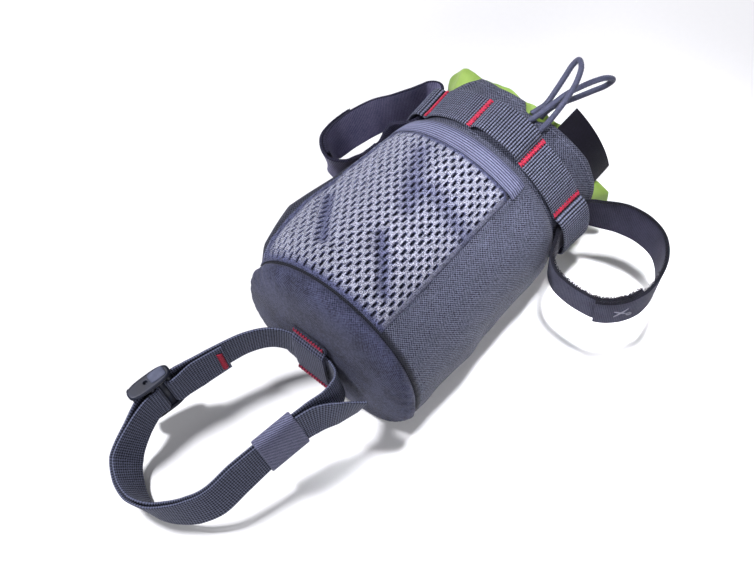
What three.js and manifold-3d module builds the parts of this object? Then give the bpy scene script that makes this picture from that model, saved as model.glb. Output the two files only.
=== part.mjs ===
// Bicycle bottle bag: a soft holder for one drinking bottle, lying on its back.
// Millimetres. The bag's axis runs along +Y from base to mouth and +Z is up.
// Shapes are worked out from the base seam; the last group moves them so that the
// origin is the middle of the flat strip that the bag rests on.
import * as THREE from 'three';
import { mergeVertices } from 'three/addons/utils/BufferGeometryUtils.js';
import Module from 'manifold-3d';

const wasm = await Module();
wasm.setup();

// Driving sizes of the bag
const REST_CENTRE = 58;
const AXIS_HEIGHT = 38;
const AXIS_SIDE = 1.5;
const SLUMP_POWER = 2.6;
const SEAM_GAP = 0.3;
const BODY_LENGTH = 116.7;
const BODY_WALL = 3;
const BASE_WALL = 2;
const COLLAR_WALL = 1.8;
const LINING_WALL = 0.9;

// Outline across the axis, a row for each distance along the axis
const SECTIONS = [
  { along: 0, halfWidth: 53.5, rise: 52, drop: 40 },
  { along: 20, halfWidth: 54, rise: 52, drop: 40.5 },
  { along: 60, halfWidth: 53, rise: 51, drop: 40.5 },
  { along: 100, halfWidth: 51.5, rise: 50.2, drop: 40.5 },
  { along: 110, halfWidth: 50.6, rise: 49.6, drop: 40 },
  { along: 117, halfWidth: 48, rise: 47.6, drop: 34.8 },
  { along: 128, halfWidth: 48, rise: 47.8, drop: 34.5 },
  { along: 140, halfWidth: 48.5, rise: 48, drop: 34.5 },
  { along: 170, halfWidth: 48, rise: 47.2, drop: 34.5 },
];

// Swell of the left side beyond that outline: its height along the axis and its spread
const SWELL = { angle: -80, spread: 25 };
const SWELL_ROWS = [
  { along: -20, height: 0 },
  { along: 3, height: 0 },
  { along: 13, height: 5 },
  { along: 24, height: 7.8 },
  { along: 37, height: 10.4 },
  { along: 48, height: 8.6 },
  { along: 64, height: 5.4 },
  { along: 81, height: 3.2 },
  { along: 101, height: 0.6 },
  { along: 112, height: 0 },
  { along: 180, height: 0 },
];

// Puffed base, from its middle to the seam: size as a share of the seam's outline
const BASE_ROWS = [
  { share: 0, along: -11.3 },
  { share: 0.4, along: -11 },
  { share: 0.72, along: -10.2 },
  { share: 0.89, along: -8.4 },
  { share: 0.985, along: -5.6 },
  { share: 1.01, along: -2.6 },
  { share: 0.99, along: -SEAM_GAP },
];

// Net pocket on the upper left, with its dents: two ends, half width and depth of each
const POCKET = { fromAngle: -74, toAngle: 33, low: 1, high: 101, wall: 1.2, lift: 0.75, puff: 3.2 };
const POCKET_EDGES = { sideSquareness: 4, hemRamp: 7, hemDraw: 0.8, hemSquareness: 6, leastPuff: 0.2 };
const POCKET_ARM = 52;
const POCKET_DENTS = [
  { angle1: -58, along1: 96, angle2: -62, along2: 4, spread: 5, depth: 3.2 },
  { angle1: -25, along1: 20, angle2: -46, along2: 44, spread: 4, depth: 2.6 },
  { angle1: -2, along1: 38, angle2: 20, along2: 15, spread: 4, depth: 2.6 },
  { angle1: -22, along1: 90, angle2: -3, along2: 59, spread: 6, depth: 2.2 },
  { angle1: 0, along1: 74, angle2: 28, along2: 67, spread: 6, depth: 2 },
];
const BINDING = { low: 101.3, high: 113.5, wall: 1.8, lift: 0.4, splay: 0.5, toAngle: 35 };

// Height of the collar's rim round the mouth, with the dip on the left and the cord notch
const RIM_ROWS = [
  { angle: -180, top: 147 },
  { angle: -110, top: 144 },
  { angle: -85, top: 140 },
  { angle: -60, top: 139.5 },
  { angle: -38, top: 151 },
  { angle: -20, top: 148.5 },
  { angle: 0, top: 149 },
  { angle: 5, top: 144.5 },
  { angle: 15, top: 144.5 },
  { angle: 20, top: 148.8 },
  { angle: 55, top: 153 },
  { angle: 70, top: 152 },
  { angle: 90, top: 147 },
  { angle: 180, top: 147 },
];

// Edge of the lining past the rim: how far along it reaches and how far it flares
const SKIRT_ROWS = [
  { angle: -180, reach: 154, flare: -3.5 },
  { angle: -110, reach: 152, flare: 1 },
  { angle: -75, reach: 153, flare: 5 },
  { angle: -52, reach: 153.5, flare: 4 },
  { angle: -38, reach: 155, flare: -2.5 },
  { angle: 0, reach: 151.5, flare: -3.6 },
  { angle: 26, reach: 154, flare: -4.2 },
  { angle: 80, reach: 156.5, flare: -4.2 },
  { angle: 90, reach: 159, flare: 3.5 },
  { angle: 104, reach: 157, flare: 5.5 },
  { angle: 130, reach: 154, flare: -1 },
  { angle: 180, reach: 154, flare: -3.5 },
];
const LINING_INSET = 3.3;
const LINING_LOW = 121;
const LINING_FULL_DRAW = 11;
const LINING_ROWS = [
  { stay: 0, pastRim: 0, draw: 0, back: 0 },
  { stay: 0.5, pastRim: 0, draw: 0, back: 0 },
  { stay: 1, pastRim: 0, draw: 0, back: 0 },
  { stay: 1, pastRim: 0.3, draw: 0, back: 0 },
  { stay: 1, pastRim: 0.7, draw: 0, back: 0 },
  { stay: 1, pastRim: 1, draw: 0, back: 0 },
  { stay: 1, pastRim: 1, draw: 3, back: 0.4 },
  { stay: 1, pastRim: 1, draw: 7.5, back: 3 },
  { stay: 1, pastRim: 1, draw: LINING_FULL_DRAW, back: 9 },
].map((row, step) => ({ ...row, step }));
const LINING_GATHERS = { count: 15, depth: 1.3 };

// Webbing ring with nine bar tacks; each cell stands up by its own rise
const WEBBING = { low: 118, high: 138, wall: 1.5 };
const TACK_FIRST_ANGLE = 25;
const TACK_COUNT = 9;
const CELL_SQUARENESS = 6;
const CELL_COLUMNS = 8;
const CELL_RISES = [0.9, 4.9, 0.9, 0.4, 0.4, 0.9, 4.9, 0.9, 4.9];

const LABEL = { fromAngle: 26, toAngle: 77, low: 146, high: 167, wall: 0.8, inset: 2.15 };

// Hook and loop straps: closed routes seen from above, lean is the top edge's outward tilt
const HOOK_STRAP = { width: 20, thickness: 1.8, overlap: 26, stepLength: 5 };
const HOOK_ROUTE_RIGHT = [
  { x: 91, y: 97.5, z: 42, lean: 0 },
  { x: 100, y: 104.5, z: 42, lean: 0 },
  { x: 105.5, y: 115, z: 42, lean: 0 },
  { x: 106, y: 127, z: 42, lean: 5 },
  { x: 102.5, y: 139, z: 42, lean: 10 },
  { x: 94, y: 148, z: 42, lean: 15 },
  { x: 83, y: 151, z: 42, lean: 19 },
  { x: 71, y: 149.5, z: 42, lean: 19 },
  { x: 60.5, y: 144.5, z: 42, lean: 12 },
  { x: 51.9, y: 138.5, z: 42.2, lean: 6 },
  { x: 51.3, y: 128, z: 41.8, lean: 4 },
  { x: 51.4, y: 118.5, z: 41.8, lean: 4 },
  { x: 54.2, y: 111, z: 42, lean: 0 },
  { x: 57.5, y: 103.5, z: 42, lean: 0 },
  { x: 64.5, y: 98.2, z: 42, lean: 0 },
  { x: 73, y: 96.3, z: 42, lean: 0 },
  { x: 82, y: 96, z: 42, lean: 0 },
];
const HOOK_ROUTE_LEFT = [
  { x: -71, y: 99.7, z: 47, lean: 36 },
  { x: -73, y: 87.5, z: 47, lean: 30 },
  { x: -72.5, y: 80, z: 47, lean: 20 },
  { x: -67.5, y: 75, z: 46, lean: 10 },
  { x: -62.3, y: 76.5, z: 44, lean: 4 },
  { x: -58.8, y: 82, z: 41, lean: 2 },
  { x: -56.6, y: 89, z: 38.5, lean: 1 },
  { x: -55, y: 100, z: 39.5, lean: 2 },
  { x: -54.3, y: 110, z: 45.5, lean: 10 },
  { x: -47.25, y: 117.8, z: 49, lean: 13.5 },
  { x: -47, y: 128, z: 48, lean: 13 },
  { x: -47.7, y: 138, z: 46.8, lean: 12 },
  { x: -50.3, y: 142, z: 45.3, lean: 12 },
  { x: -55.3, y: 141, z: 43, lean: 13 },
  { x: -59.5, y: 132.5, z: 42.3, lean: 18 },
  { x: -63.2, y: 121.5, z: 43.8, lean: 27 },
  { x: -67.6, y: 111.5, z: 46, lean: 34 },
];

// Base strap: stations seen from above, from the anchor round to the fold beside it
const BASE_STRAP = { width: 20, thickness: 1.6, layerShift: 2.3, spanSteps: 3 };
const STRAP_STATIONS = [
  { name: 'anchor', x: -2, y: -13, z: 35, lean: 0 },
  { name: 'farExit', x: -15, y: -13.6, z: 35.2, lean: 0 },
  { name: 'farBend', x: -25, y: -18.5, z: 35.5, lean: 0 },
  { name: 'farRun', x: -32.9, y: -28.7, z: 35, lean: 3 },
  { name: 'tack', x: -39.4, y: -44, z: 33, lean: 9 },
  { name: 'sewnEnd', x: -44.7, y: -60.3, z: 30, lean: 15 },
  { name: 'buckle', x: -49, y: -77.3, z: 26.5, lean: 9 },
  { name: 'leftRun', x: -46.1, y: -96.8, z: 21.6, lean: 21 },
  { name: 'leftEnd', x: -42.2, y: -109.6, z: 14.5, lean: 41 },
  { name: 'lowEnd', x: -34.3, y: -116.8, z: 11, lean: 42 },
  { name: 'lowLeft', x: -25.2, y: -120.5, z: 10.5, lean: 33 },
  { name: 'lowMiddle', x: -16, y: -120.6, z: 12, lean: 15 },
  { name: 'low', x: -7, y: -116.2, z: 14, lean: -1 },
  { name: 'lowRight', x: 1.7, y: -108.8, z: 17, lean: -15 },
  { name: 'nearBend', x: 7.5, y: -99.6, z: 20.5, lean: -24 },
  { name: 'nearRun', x: 10.3, y: -83.3, z: 26, lean: -26 },
  { name: 'keeper', x: 14.7, y: -57.8, z: 32, lean: -17 },
  { name: 'nearExit', x: 18.7, y: -38.7, z: 35, lean: -18 },
  { name: 'foldIn', x: 21.5, y: -25.5, z: 36, lean: -20 },
  { name: 'fold', x: 18, y: -16, z: 35.5, lean: -12 },
  { name: 'foldOut', x: 10, y: -13.1, z: 35, lean: -2 },
];
const SEWN_END = { back: 4, spread: 0.8 };
const TAIL_TIP_STATIONS = [
  { name: 'tailExit', x: 22, y: -39.5, z: 35.5, lean: -16 },
  { name: 'tailBend', x: 28.5, y: -27.5, z: 34, lean: -3 },
  { name: 'tailTip', x: 34, y: -17, z: 32, lean: 16 },
];

// Ladder lock buckle, along and out from its station, with the two bars that the strap rounds
const BUCKLE = { railInner: 11.5, railOuter: 13.9, start: -12, end: 13, low: -2.4, high: 7.3 };
const BUCKLE_BAR_RADIUS = 1.6;
const BUCKLE_BARS = { fixed: -9, middle: 1, front: 10.8 };
const FRONT_BAR_OUT = 5.6;
const BAR_TURN = BUCKLE_BAR_RADIUS + SEAM_GAP + BASE_STRAP.thickness / 2;
const BAR_STRAIGHT = 4;

const KEEPER = { length: 24, halfWidth: 11.1, halfDepth: 3.5, wall: 1.1, squareness: 8 };

// Anchor patch on the base: distance above its middle and place along the axis
const ANCHOR = { width: 21, wall: 1.5, height: 35, side: -2, slant: -0.14 };
const ANCHOR_ROWS = [
  { above: 17.5, along: -12.6 },
  { above: 14, along: -12.6 },
  { above: 11.4, along: -15.2 },
  { above: 6, along: -15.5 },
  { above: 0, along: -15.6 },
  { above: -6, along: -15.5 },
  { above: -11.4, along: -15.2 },
  { above: -14, along: -12.6 },
  { above: -17.5, along: -12.6 },
];

// Draw cord from the notch, round both loops and the turn behind the webbing
const CORD = { diameter: 3, sides: 8, steps: 50 };
const CORD_ROUTE = [
  [8, 146, 84], [9.3, 150, 84.8], [10.6, 154.3, 86], [10.4, 162.4, 89.2], [10, 170.6, 93.3],
  [10.1, 175.8, 97.1], [12.1, 177.8, 101], [16, 174.4, 102], [18.9, 167.4, 100], [20.1, 159.8, 97],
  [20.2, 151.1, 93], [19.3, 144, 88.6], [17.9, 138.2, 85.6], [17.8, 131.5, 85.2], [15.8, 126.2, 85.8],
  [11.7, 124.2, 87], [7.6, 126.4, 87.6], [5.8, 131.8, 87.8], [10.4, 138.6, 87.4], [13.5, 145.8, 90],
  [15.7, 154.4, 92.2], [17.4, 162, 93], [20.2, 169, 93.8], [23.6, 176.2, 94.4], [26.5, 182.6, 93],
  [28.3, 187, 88.4], [25.9, 185, 82.8], [21.8, 179, 80.3], [18.1, 171.2, 80], [15, 163.3, 81],
  [13.2, 156.5, 82.8], [13, 149.5, 84.3], [13.2, 147, 84.3],
];

const UP = new THREE.Vector3(0, 0, 1);
const TINY = 1e-6;

function material(color, roughness) {
  return new THREE.MeshStandardMaterial({ color, roughness, metalness: 0 });
}

function part(name, geometry, color, roughness) {
  const mesh = new THREE.Mesh(geometry, material(color, roughness));
  mesh.name = name;
  return mesh;
}

// Columns of a table at a value of its key, straight or on a smooth curve between rows
function rowAt(table, key, value, smooth = true) {
  const last = table.length - 2;
  let index = 0;
  while (index < last && value > table[index + 1][key]) index += 1;
  const low = table[index];
  const high = table[index + 1];
  const span = high[key] - low[key];
  const share = Math.min(Math.max((value - low[key]) / span, 0), 1);
  const before = table[Math.max(index - 1, 0)];
  const after = table[Math.min(index + 2, table.length - 1)];
  const row = {};
  for (const column of Object.keys(low)) {
    const step = high[column] - low[column];
    const bend = share * (1 - share);
    const slopeIn = (high[column] - before[column]) / (high[key] - before[key]) * span - step;
    const slopeOut = (after[column] - low[column]) / (after[key] - low[key]) * span - step;
    const curve = bend * (slopeIn * (1 - share) - slopeOut * share);
    row[column] = low[column] + step * share + (smooth ? curve : 0);
  }
  return row;
}

// Point of an outline row at an angle from the top towards +X, moved out by an offset.
// The lower half slumps towards a box and goes flat where it meets the surface.
function outlinePoint(row, angle, along, offset) {
  const side = Math.sin(angle);
  const up = Math.cos(angle);
  const power = up < 0 ? 2 / SLUMP_POWER : 1;
  const lift = (up < 0 ? row.drop : row.rise) + offset;
  const x = AXIS_SIDE + (row.halfWidth + offset) * Math.sign(side) * Math.abs(side) ** power;
  const z = AXIS_HEIGHT + lift * Math.sign(up) * Math.abs(up) ** power;
  return new THREE.Vector3(x, along, Math.max(z, -offset));
}

function swellAt(angle, along) {
  const turn = (THREE.MathUtils.radToDeg(angle) - SWELL.angle) / SWELL.spread;
  return rowAt(SWELL_ROWS, 'along', along, false).height * Math.exp(-(turn ** 2));
}

function skin(angle, along, offset) {
  const row = rowAt(SECTIONS, 'along', along);
  return outlinePoint(row, angle, along, offset + swellAt(angle, along));
}

// Closed wall between an outer (depth 0) and an inner (depth 1) sheet of grid points
function wallGeometry({ columns, rows, wraps, pointAt }) {
  const across = wraps ? columns : columns + 1;
  const points = [];
  for (const depth of [0, 1]) {
    for (let j = 0; j <= rows; j += 1) {
      for (let i = 0; i < across; i += 1) points.push(pointAt(i / columns, j / rows, depth));
    }
  }
  const at = (i, j, depth) => depth * (rows + 1) * across + j * across + (i % across);
  const faces = [];
  const addFace = (a, b, c) => {
    const flat = [[a, b], [b, c], [c, a]].some(([p, q]) => points[p].distanceTo(points[q]) < TINY);
    if (!flat) faces.push(a, b, c);
  };
  const addQuad = (a, b, c, d) => {
    addFace(a, b, c);
    addFace(a, c, d);
  };
  for (let i = 0; i < columns; i += 1) {
    for (let j = 0; j < rows; j += 1) {
      addQuad(at(i, j, 0), at(i + 1, j, 0), at(i + 1, j + 1, 0), at(i, j + 1, 0));
      addQuad(at(i, j, 1), at(i, j + 1, 1), at(i + 1, j + 1, 1), at(i + 1, j, 1));
    }
    addQuad(at(i + 1, 0, 0), at(i, 0, 0), at(i, 0, 1), at(i + 1, 0, 1));
    addQuad(at(i, rows, 0), at(i + 1, rows, 0), at(i + 1, rows, 1), at(i, rows, 1));
  }
  for (let j = 0; j < rows && !wraps; j += 1) {
    addQuad(at(0, j, 0), at(0, j + 1, 0), at(0, j + 1, 1), at(0, j, 1));
    addQuad(at(columns, j + 1, 0), at(columns, j, 0), at(columns, j, 1), at(columns, j + 1, 1));
  }
  return meshFrom(points, faces);
}

function meshFrom(points, faces) {
  const geometry = new THREE.BufferGeometry();
  geometry.setAttribute('position', new THREE.Float32BufferAttribute(points.flatMap((p) => p.toArray()), 3));
  geometry.setIndex(faces);
  const merged = mergeVertices(geometry);
  merged.computeVertexNormals();
  return merged;
}

// Wall whose inner sheet lies a thickness behind the given outer sheet
function thickened(sheet, wall) {
  const nudge = 1e-3;
  return (u, v, depth) => {
    const point = sheet(u, v);
    if (depth === 0) return point;
    const alongU = sheet(u + nudge, v).sub(sheet(u - nudge, v));
    const alongV = sheet(u, Math.min(v + nudge, 1)).sub(sheet(u, Math.max(v - nudge, 0)));
    return point.addScaledVector(alongU.cross(alongV).normalize(), -wall);
  };
}

function fullTurn(u) {
  return u * 2 * Math.PI - Math.PI;
}

function angleBetween(from, to, u) {
  return THREE.MathUtils.degToRad(from + (to - from) * u);
}

function bodyWall() {
  const pointAt = (u, v, depth) => skin(fullTurn(u), v * BODY_LENGTH, -depth * BODY_WALL);
  return wallGeometry({ columns: 44, rows: 11, wraps: true, pointAt });
}

function baseCap() {
  const seam = rowAt(SECTIONS, 'along', 0);
  const pointAt = (u, v, depth) => {
    const row = BASE_ROWS[Math.round(v * (BASE_ROWS.length - 1))];
    const outline = {
      halfWidth: seam.halfWidth * row.share,
      rise: seam.rise * row.share,
      drop: seam.drop * row.share,
    };
    const along = row.along + depth * BASE_WALL * (1 - row.share ** 4);
    return outlinePoint(outline, fullTurn(u), Math.min(along, -SEAM_GAP), -depth * BASE_WALL * row.share);
  };
  return wallGeometry({ columns: 44, rows: BASE_ROWS.length - 1, wraps: true, pointAt });
}

// How far a dent presses the pocket in at a place on it
function dentDepth(dent, angle, along) {
  const place = new THREE.Vector2(THREE.MathUtils.degToRad(angle) * POCKET_ARM, along);
  const start = new THREE.Vector2(THREE.MathUtils.degToRad(dent.angle1) * POCKET_ARM, dent.along1);
  const end = new THREE.Vector2(THREE.MathUtils.degToRad(dent.angle2) * POCKET_ARM, dent.along2);
  const run = end.clone().sub(start);
  const share = Math.min(Math.max(place.clone().sub(start).dot(run) / run.lengthSq(), 0), 1);
  const distance = place.distanceTo(start.addScaledVector(run, share));
  return dent.depth * Math.exp(-((distance / dent.spread) ** 2));
}

// The pocket stands off the body between its sewn edges and is drawn in by its elastic edge
function pocketPuff(u, v) {
  const angle = POCKET.fromAngle + (POCKET.toAngle - POCKET.fromAngle) * u;
  const along = POCKET.low + (POCKET.high - POCKET.low) * v;
  const { sideSquareness, hemRamp, hemDraw, hemSquareness, leastPuff } = POCKET_EDGES;
  const sides = 1 - Math.abs(2 * u - 1) ** sideSquareness;
  const ends = Math.min(1, v * hemRamp) * (1 - hemDraw * v ** hemSquareness);
  const dents = POCKET_DENTS.reduce((sum, dent) => sum + dentDepth(dent, angle, along), 0);
  return sides * ends * Math.max(POCKET.puff - dents, leastPuff);
}

function meshPocket() {
  const pointAt = (u, v, depth) => {
    const angle = angleBetween(POCKET.fromAngle, POCKET.toAngle, u);
    const along = POCKET.low + (POCKET.high - POCKET.low) * v;
    return skin(angle, along, POCKET.lift + pocketPuff(u, v) + (1 - depth) * POCKET.wall);
  };
  return wallGeometry({ columns: 24, rows: 16, wraps: false, pointAt });
}

function pocketBinding() {
  const pointAt = (u, v, depth) => {
    const angle = angleBetween(POCKET.fromAngle, BINDING.toAngle, u);
    const along = BINDING.low + (BINDING.high - BINDING.low) * v;
    return skin(angle, along, BINDING.lift + BINDING.splay * (1 - v) + (1 - depth) * BINDING.wall);
  };
  return wallGeometry({ columns: 26, rows: 3, wraps: false, pointAt });
}

function rimAt(angle) {
  return rowAt(RIM_ROWS, 'angle', THREE.MathUtils.radToDeg(angle), false).top;
}

function collar() {
  const pointAt = (u, v, depth) => {
    const angle = fullTurn(u);
    const edges = [BODY_LENGTH + SEAM_GAP, WEBBING.low, WEBBING.high, rimAt(angle)];
    return skin(angle, edges[Math.round(v * 3)], -depth * COLLAR_WALL);
  };
  return wallGeometry({ columns: 72, rows: 3, wraps: true, pointAt });
}

// Rise of the webbing over the collar: nothing at a bar tack, most in the middle of a cell
function webbingRise(angle) {
  const pitch = 360 / TACK_COUNT;
  const turn = THREE.MathUtils.euclideanModulo(THREE.MathUtils.radToDeg(angle) - TACK_FIRST_ANGLE, 360);
  const cell = Math.floor(turn / pitch + TINY) % TACK_COUNT;
  const place = ((turn - cell * pitch) / pitch) * 2 - 1;
  return CELL_RISES[cell] * (1 - Math.min(Math.abs(place), 1) ** CELL_SQUARENESS);
}

function daisyWebbing() {
  const first = THREE.MathUtils.degToRad(TACK_FIRST_ANGLE);
  const pointAt = (u, v, depth) => {
    const angle = first + u * 2 * Math.PI;
    const along = WEBBING.low + (WEBBING.high - WEBBING.low) * v;
    return skin(angle, along, SEAM_GAP + webbingRise(angle) + (1 - depth) * WEBBING.wall);
  };
  return wallGeometry({ columns: TACK_COUNT * CELL_COLUMNS, rows: 1, wraps: true, pointAt });
}

function mouthLining() {
  const sheet = (u, v) => {
    const angle = fullTurn((u + 1) % 1);
    const row = rowAt(LINING_ROWS, 'step', v * (LINING_ROWS.length - 1), false);
    const skirt = rowAt(SKIRT_ROWS, 'angle', THREE.MathUtils.radToDeg(angle), false);
    const rim = rimAt(angle);
    const gathered = LINING_GATHERS.depth * row.draw / LINING_FULL_DRAW;
    const gather = gathered * Math.sin(LINING_GATHERS.count * angle);
    const along = LINING_LOW + (rim - LINING_LOW) * row.stay + (skirt.reach - rim) * row.pastRim - row.back;
    const offset = -LINING_INSET + (skirt.flare + LINING_INSET) * row.pastRim - row.draw + gather;
    return skin(angle, along, offset);
  };
  return wallGeometry({
    columns: 48, rows: LINING_ROWS.length - 1, wraps: true, pointAt: thickened(sheet, LINING_WALL),
  });
}

function labelTag() {
  const pointAt = (u, v, depth) => {
    const along = LABEL.low + (LABEL.high - LABEL.low) * v;
    return skin(angleBetween(LABEL.fromAngle, LABEL.toAngle, u), along, -LABEL.inset - depth * LABEL.wall);
  };
  return wallGeometry({ columns: 8, rows: 2, wraps: false, pointAt });
}

// Frame of a strap at a route row: along the route, across its width and out of its face
function strapFrame(row, tangent) {
  const along = tangent.clone().normalize();
  const outward = along.clone().cross(UP).normalize();
  const upright = outward.clone().cross(along).normalize();
  const lean = THREE.MathUtils.degToRad(row.lean);
  const across = upright.clone().multiplyScalar(Math.cos(lean)).addScaledVector(outward, Math.sin(lean));
  const out = outward.clone().multiplyScalar(Math.cos(lean)).addScaledVector(upright, -Math.sin(lean));
  return { centre: new THREE.Vector3(row.x, row.y, row.z), along, across, out };
}

function movedFrame(frame, alongBy, outBy) {
  const centre = frame.centre.clone().addScaledVector(frame.along, alongBy).addScaledVector(frame.out, outBy);
  return { ...frame, centre };
}

// Flat band swept along a row of frames with a rectangular section
function bandGeometry(frames, width, thickness) {
  const corners = [[-1, -1], [1, -1], [1, 1], [-1, 1]];
  const points = frames.flatMap(({ centre, across, out }) => corners.map(([side, face]) => centre.clone()
    .addScaledVector(across, side * width / 2).addScaledVector(out, face * thickness / 2)));
  const count = corners.length;
  const faces = [0, 2, 1, 0, 3, 2];
  for (let step = 0; step + 1 < frames.length; step += 1) {
    for (let k = 0; k < count; k += 1) {
      const a = step * count + k;
      const b = step * count + (k + 1) % count;
      faces.push(a, b, b + count, a, b + count, a + count);
    }
  }
  const end = (frames.length - 1) * count;
  faces.push(end, end + 1, end + 2, end, end + 2, end + 3);
  return meshFrom(points, faces);
}

// Smooth run of frames through the given ones; the face turns with the route
function smoothFrames(frames, spanSteps) {
  const curve = new THREE.CatmullRomCurve3(frames.map((frame) => frame.centre), false, 'centripetal');
  const total = (frames.length - 1) * spanSteps;
  return Array.from({ length: total + 1 }, (_, step) => {
    const place = step / spanSteps;
    const index = Math.min(Math.floor(place), frames.length - 2);
    const across = frames[index].across.clone().lerp(frames[index + 1].across, place - index);
    const along = curve.getTangent(step / total);
    across.addScaledVector(along, -across.dot(along)).normalize();
    return { centre: curve.getPoint(step / total), across, out: along.clone().cross(across).normalize() };
  });
}

// Closed strap whose two ends lie over each other, the first one outside
function hookStrap(route) {
  const { width, thickness, overlap, stepLength } = HOOK_STRAP;
  const centres = route.map((row) => new THREE.Vector3(row.x, row.y, row.z));
  const curve = new THREE.CatmullRomCurve3(centres, true, 'centripetal');
  const length = curve.getLength();
  const steps = Math.ceil((length + overlap) / stepLength);
  const layer = (thickness + SEAM_GAP) / 2;
  const frames = Array.from({ length: steps + 1 }, (_, step) => {
    const travelled = (length + overlap) * step / steps;
    const t = curve.getUtoTmapping((travelled / length) % 1);
    const place = t * route.length;
    const index = Math.floor(place) % route.length;
    const next = route[(index + 1) % route.length];
    const lean = THREE.MathUtils.lerp(route[index].lean, next.lean, place - Math.floor(place));
    const centre = curve.getPoint(t);
    const frame = strapFrame({ x: centre.x, y: centre.y, z: centre.z, lean }, curve.getTangent(t));
    const outside = 1 - THREE.MathUtils.smoothstep(travelled, overlap, 2 * overlap);
    const inside = THREE.MathUtils.smoothstep(travelled, length - overlap, length);
    return movedFrame(frame, 0, layer * (outside - inside));
  });
  return bandGeometry(frames, width, thickness);
}

// Frames of the base strap's stations, by name
function strapStationFrames() {
  const centres = STRAP_STATIONS.map((row) => new THREE.Vector3(row.x, row.y, row.z));
  const curve = new THREE.CatmullRomCurve3(centres, true, 'centripetal');
  const frames = {};
  STRAP_STATIONS.forEach((row, index) => {
    frames[row.name] = strapFrame(row, curve.getTangent(index / STRAP_STATIONS.length));
  });
  const buckle = STRAP_STATIONS.find((row) => row.name === 'buckle');
  const towards = frames.buckle.centre.clone().sub(frames.sewnEnd.centre);
  frames.buckle = strapFrame(buckle, towards);
  TAIL_TIP_STATIONS.forEach((row, index) => {
    const from = index === 0 ? TAIL_TIP_STATIONS[0] : TAIL_TIP_STATIONS[index - 1];
    const to = index === 0 ? TAIL_TIP_STATIONS[1] : row;
    frames[row.name] = strapFrame(row, new THREE.Vector3(to.x - from.x, to.y - from.y, to.z - from.z));
  });
  return frames;
}

// Half turn round a buckle bar, from the inner to the outer side, bulging along the given way,
// with a short straight run before and after it
function barTurn(buckle, barAlong, way) {
  const turned = [-90, -45, 0, 45, 90].map((degrees) => {
    const turn = THREE.MathUtils.degToRad(degrees);
    return movedFrame(buckle, barAlong + way * BAR_TURN * Math.cos(turn), BAR_TURN * Math.sin(turn));
  });
  const straight = barAlong - way * BAR_STRAIGHT;
  return [movedFrame(buckle, straight, -BAR_TURN), ...turned, movedFrame(buckle, straight, BAR_TURN)];
}

// One long strap: sewn end, fixed bar, far run, anchor, near run, middle bar and tail
function baseStrap(frames) {
  const { width, thickness, layerShift, spanSteps } = BASE_STRAP;
  const names = STRAP_STATIONS.map((row) => row.name);
  const far = names.slice(0, names.indexOf('sewnEnd')).reverse();
  const near = names.slice(names.indexOf('leftRun')).reverse();
  const shared = names.slice(names.indexOf('leftRun'), names.indexOf('keeper') + 1);
  const route = [
    movedFrame(frames.tack, -SEWN_END.back, -layerShift),
    movedFrame(frames.sewnEnd, -SEWN_END.back, -layerShift - SEAM_GAP),
    ...barTurn(frames.buckle, BUCKLE_BARS.fixed, 1),
    movedFrame(frames.sewnEnd, -SEWN_END.back / 2, SEWN_END.spread),
    ...far.map((name) => frames[name]),
    ...near.map((name) => frames[name]),
    ...barTurn(frames.buckle, BUCKLE_BARS.middle, -1),
    ...shared.map((name) => movedFrame(frames[name], 0, layerShift)),
    ...TAIL_TIP_STATIONS.map((row) => frames[row.name]),
  ];
  return bandGeometry(smoothFrames(route, spanSteps), width, thickness);
}

function solidFrom(geometry) {
  const bare = geometry.clone();
  bare.deleteAttribute('normal');
  bare.deleteAttribute('uv');
  const merged = mergeVertices(bare);
  const vertProperties = new Float32Array(merged.attributes.position.array);
  const triVerts = new Uint32Array(merged.index.array);
  return new wasm.Manifold(new wasm.Mesh({ numProp: 3, vertProperties, triVerts }));
}

function geometryFrom(solid) {
  const { vertProperties, triVerts } = solid.getMesh();
  const geometry = new THREE.BufferGeometry();
  geometry.setAttribute('position', new THREE.Float32BufferAttribute(vertProperties, 3));
  geometry.setIndex(Array.from(triVerts));
  geometry.computeVertexNormals();
  return geometry;
}

// Ladder lock: two side rails joined by three round bars
function strapBuckle({ centre, along, across, out }) {
  const length = BUCKLE.end - BUCKLE.start;
  const depth = BUCKLE.high - BUCKLE.low;
  const railWidth = BUCKLE.railOuter - BUCKLE.railInner;
  const barLength = BUCKLE.railInner + BUCKLE.railOuter;
  const rails = [-1, 1].map((side) => new THREE.BoxGeometry(length, railWidth, depth).translate(
    (BUCKLE.start + BUCKLE.end) / 2,
    side * (BUCKLE.railInner + BUCKLE.railOuter) / 2,
    (BUCKLE.low + BUCKLE.high) / 2,
  ));
  const bars = Object.entries(BUCKLE_BARS).map(([name, place]) => {
    const bar = new THREE.CylinderGeometry(BUCKLE_BAR_RADIUS, BUCKLE_BAR_RADIUS, barLength, 10);
    return bar.translate(place, 0, name === 'front' ? FRONT_BAR_OUT : 0);
  });
  const joined = [...rails, ...bars].map(solidFrom).reduce((whole, solid) => whole.add(solid));
  const geometry = geometryFrom(joined);
  const placing = new THREE.Matrix4().makeBasis(along, across, out).setPosition(centre);
  return geometry.applyMatrix4(placing);
}

// Elastic sleeve round the two layers of the strap
function strapKeeper(frame) {
  const middle = movedFrame(frame, 0, BASE_STRAP.layerShift / 2);
  const pointAt = (u, v, depth) => {
    const turn = fullTurn(u);
    const grow = (1 - depth) * KEEPER.wall;
    const round = (value) => Math.sign(value) * Math.abs(value) ** (2 / KEEPER.squareness);
    return middle.centre.clone()
      .addScaledVector(frame.across, (KEEPER.halfWidth + grow) * round(Math.sin(turn)))
      .addScaledVector(frame.out, (KEEPER.halfDepth + grow) * round(Math.cos(turn)))
      .addScaledVector(frame.along, KEEPER.length * (0.5 - v));
  };
  return wallGeometry({ columns: 24, rows: 2, wraps: true, pointAt });
}

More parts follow.
